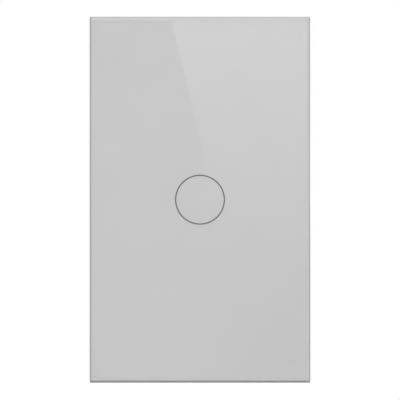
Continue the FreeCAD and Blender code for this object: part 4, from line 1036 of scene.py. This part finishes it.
def reflected_card(studio):
    """The card behind the camera that the glass mirrors: a slanted edge, sharp at its top and soft at its
    foot, with plain white on its left and a ramp from bright to dim on its right.

    The camera sees a point of the card at that point's place on the glass times the mirror's reach,
    which is one plus the card's distance over the camera's."""
    reach = 1 + studio.card_distance / studio.camera_distance
    top, foot = EDGE_TOP * reach, EDGE_FOOT * reach
    mirrored = GLASS_HIGH.z * reach
    half_x, half_z = GLASS_HIGH.x * reach * CARD_WIDTHS, mirrored * CARD_HEIGHTS
    y = GLASS_LOW.y - studio.card_distance
    corners = [(-half_x, -half_z), (-half_x, half_z), (half_x, half_z), (half_x, -half_z)]
    points = np.array([(across, y, up) for across, up in corners])
    material = bpy.data.materials.new("Lit card")
    tree = blank(material)
    place = add(tree, "SeparateXYZ", {"Vector": add(tree, "TexCoord").outputs["Object"]})
    x, z = place.outputs["X"], place.outputs["Z"]
    line = add(
        tree, "MapRange",
        {"Value": z, "From Min": foot.y, "From Max": top.y, "To Min": foot.x, "To Max": top.x},
        clamp=False,
    )
    aside = add(tree, "Math", {0: x, 1: line.outputs["Result"]}, operation="SUBTRACT")
    softness = add(
        tree, "MapRange",
        {"Value": z, "From Min": -mirrored, "From Max": foot.y,
         "To Min": EDGE_SOFT * reach, "To Max": EDGE_SHARP * reach},
    )
    share = add(tree, "Math", {0: aside.outputs[0], 1: softness.outputs["Result"]}, operation="DIVIDE")
    right = add(
        tree, "MapRange", {"Value": share.outputs[0], "From Min": -1.0}, interpolation_type="SMOOTHSTEP"
    )
    ramp = add(
        tree, "MapRange",
        {"Value": z, "From Min": -mirrored, "From Max": mirrored,
         "To Min": studio.card_dim, "To Max": studio.card_bright},
    )
    strength = add(
        tree, "Mix", {"Factor": right.outputs["Result"], "A": 1.0, "B": ramp.outputs["Result"]},
    )
    light = add(tree, "Emission", {"Strength": strength.outputs["Result"]})
    add(tree, "OutputMaterial", {"Surface": light.outputs["Emission"]})
    card = mesh_piece("reflected_card", points, [np.arange(4)], material, smooth=False)
    card.visible_camera = False
    card.visible_diffuse = False
    card.visible_shadow = False


def pale_floor(tree, place):
    """Painted board: matt, pale grey."""
    return {**clouded(tree, place, "c9c9c9", "cccccc", size=0.4), "Roughness": 0.9}


def studio_floor(drop):
    """A round floor that keeps the shadow and runs out into the white of the room. It has only an upper
    side: from below the camera looks through it."""
    material = made("Painted studio floor", pale_floor)
    tree, shown, surface = surface_of(material)
    ray = add(tree, "LightPath")
    spot = add(tree, "TexCoord").outputs["Object"]
    place = add(tree, "Mapping", {"Vector": spot, "Scale": (1, 1, 0)})
    away = add(tree, "VectorMath", {0: place}, operation="LENGTH")
    far = add(
        tree, "MapRange", {"Value": away.outputs["Value"], "From Min": FADE_FROM, "From Max": FADE_TO}
    )
    share = add(tree, "Math", {0: far, 1: ray.outputs["Is Camera Ray"]}, operation="MULTIPLY")
    white = add(tree, "Emission")
    both = add(tree, "MixShader", {0: share, 1: surface, 2: white})
    below = add(tree, "NewGeometry").outputs["Backfacing"]
    sided = add(tree, "MixShader", {0: below, 1: both, 2: add(tree, "BsdfTransparent")})
    tree.links.new(sided.outputs[0], shown)
    angle = np.linspace(0, 2 * math.pi, FLOOR_SIDES, endpoint=False)
    rim = np.stack([np.cos(angle), np.sin(angle), np.full(FLOOR_SIDES, -drop / FLOOR_RADIUS)], 1)
    floor = mesh_piece(
        "studio_floor", FLOOR_RADIUS * rim, [np.arange(FLOOR_SIDES)], material, smooth=False
    )
    floor.visible_diffuse = False


class SWITCH_OT_studio(bpy.types.Operator):
    """Sets up the camera, the lamps, the floor and the card that the glass reflects"""

    bl_idname = "switch.studio"
    bl_label = "Studio"

    def execute(self, context):
        scene = context.scene
        studio = scene.switch_studio
        scene.view_settings.view_transform = "Standard"
        room(scene, studio)
        camera = bpy.data.objects.new("camera", bpy.data.cameras.new("camera"))
        scene.collection.objects.link(camera)
        camera.data.type = "PERSP"
        camera.data.lens = camera.data.sensor_width * studio.camera_distance / studio.field
        camera.location = (0.0, GLASS_LOW.y - studio.camera_distance, studio.camera_rise)
        camera.rotation_euler = (math.pi / 2, 0.0, 0.0)
        scene.camera = camera
        soft_box(scene, "front_soft_box", FRONT_BOX, studio.key_power)
        soft_box(scene, "rear_soft_box", REAR_BOX, studio.rear_power)
        soft_box(scene, "side_soft_box", SIDE_BOX, studio.side_power)
        reflected_card(studio)
        studio_floor(studio.floor_drop)
        return {"FINISHED"}


PIECES = (
    SWITCH_OT_finishes, SWITCH_OT_glass, SWITCH_OT_print, SWITCH_OT_carrier, SWITCH_OT_spring,
    SWITCH_OT_base, SWITCH_OT_housing, SWITCH_OT_boards, SWITCH_OT_power, SWITCH_OT_capacitors,
    SWITCH_OT_relay, SWITCH_OT_terminals, SWITCH_OT_studio,
)


class SWITCH_PT_panel(bpy.types.Panel):
    """Lists the sizes, the colours and the steps of the build"""

    bl_idname = "SWITCH_PT_panel"
    bl_label = "Glass touch switch"
    bl_space_type = "VIEW_3D"
    bl_region_type = "UI"
    bl_category = "Switch"

    def draw(self, context):
        scene = context.scene
        for group in (scene.switch_sizes, scene.switch_colours, scene.switch_studio):
            box = self.layout.box()
            for name in group.__annotations__:
                box.prop(group, name)
        for piece in PIECES:
            self.layout.operator(piece.bl_idname)


CLASSES = (PanelSizes, SwitchColours, StudioSettings, *PIECES, SWITCH_PT_panel)


def register():
    """Registers the classes and hangs the settings on the scene."""
    for cls in CLASSES:
        bpy.utils.register_class(cls)
    bpy.types.Scene.switch_sizes = PointerProperty(type=PanelSizes)
    bpy.types.Scene.switch_colours = PointerProperty(type=SwitchColours)
    bpy.types.Scene.switch_studio = PointerProperty(type=StudioSettings)


def unregister():
    """Takes the settings and the classes away again."""
    del bpy.types.Scene.switch_sizes
    del bpy.types.Scene.switch_colours
    del bpy.types.Scene.switch_studio
    for cls in reversed(CLASSES):
        bpy.utils.unregister_class(cls)


def main():
    """Builds every piece in order."""
    register()
    for piece in PIECES:
        group, name = piece.bl_idname.split(".")
        getattr(getattr(bpy.ops, group), name)()


if __name__ == "__main__":
    main()
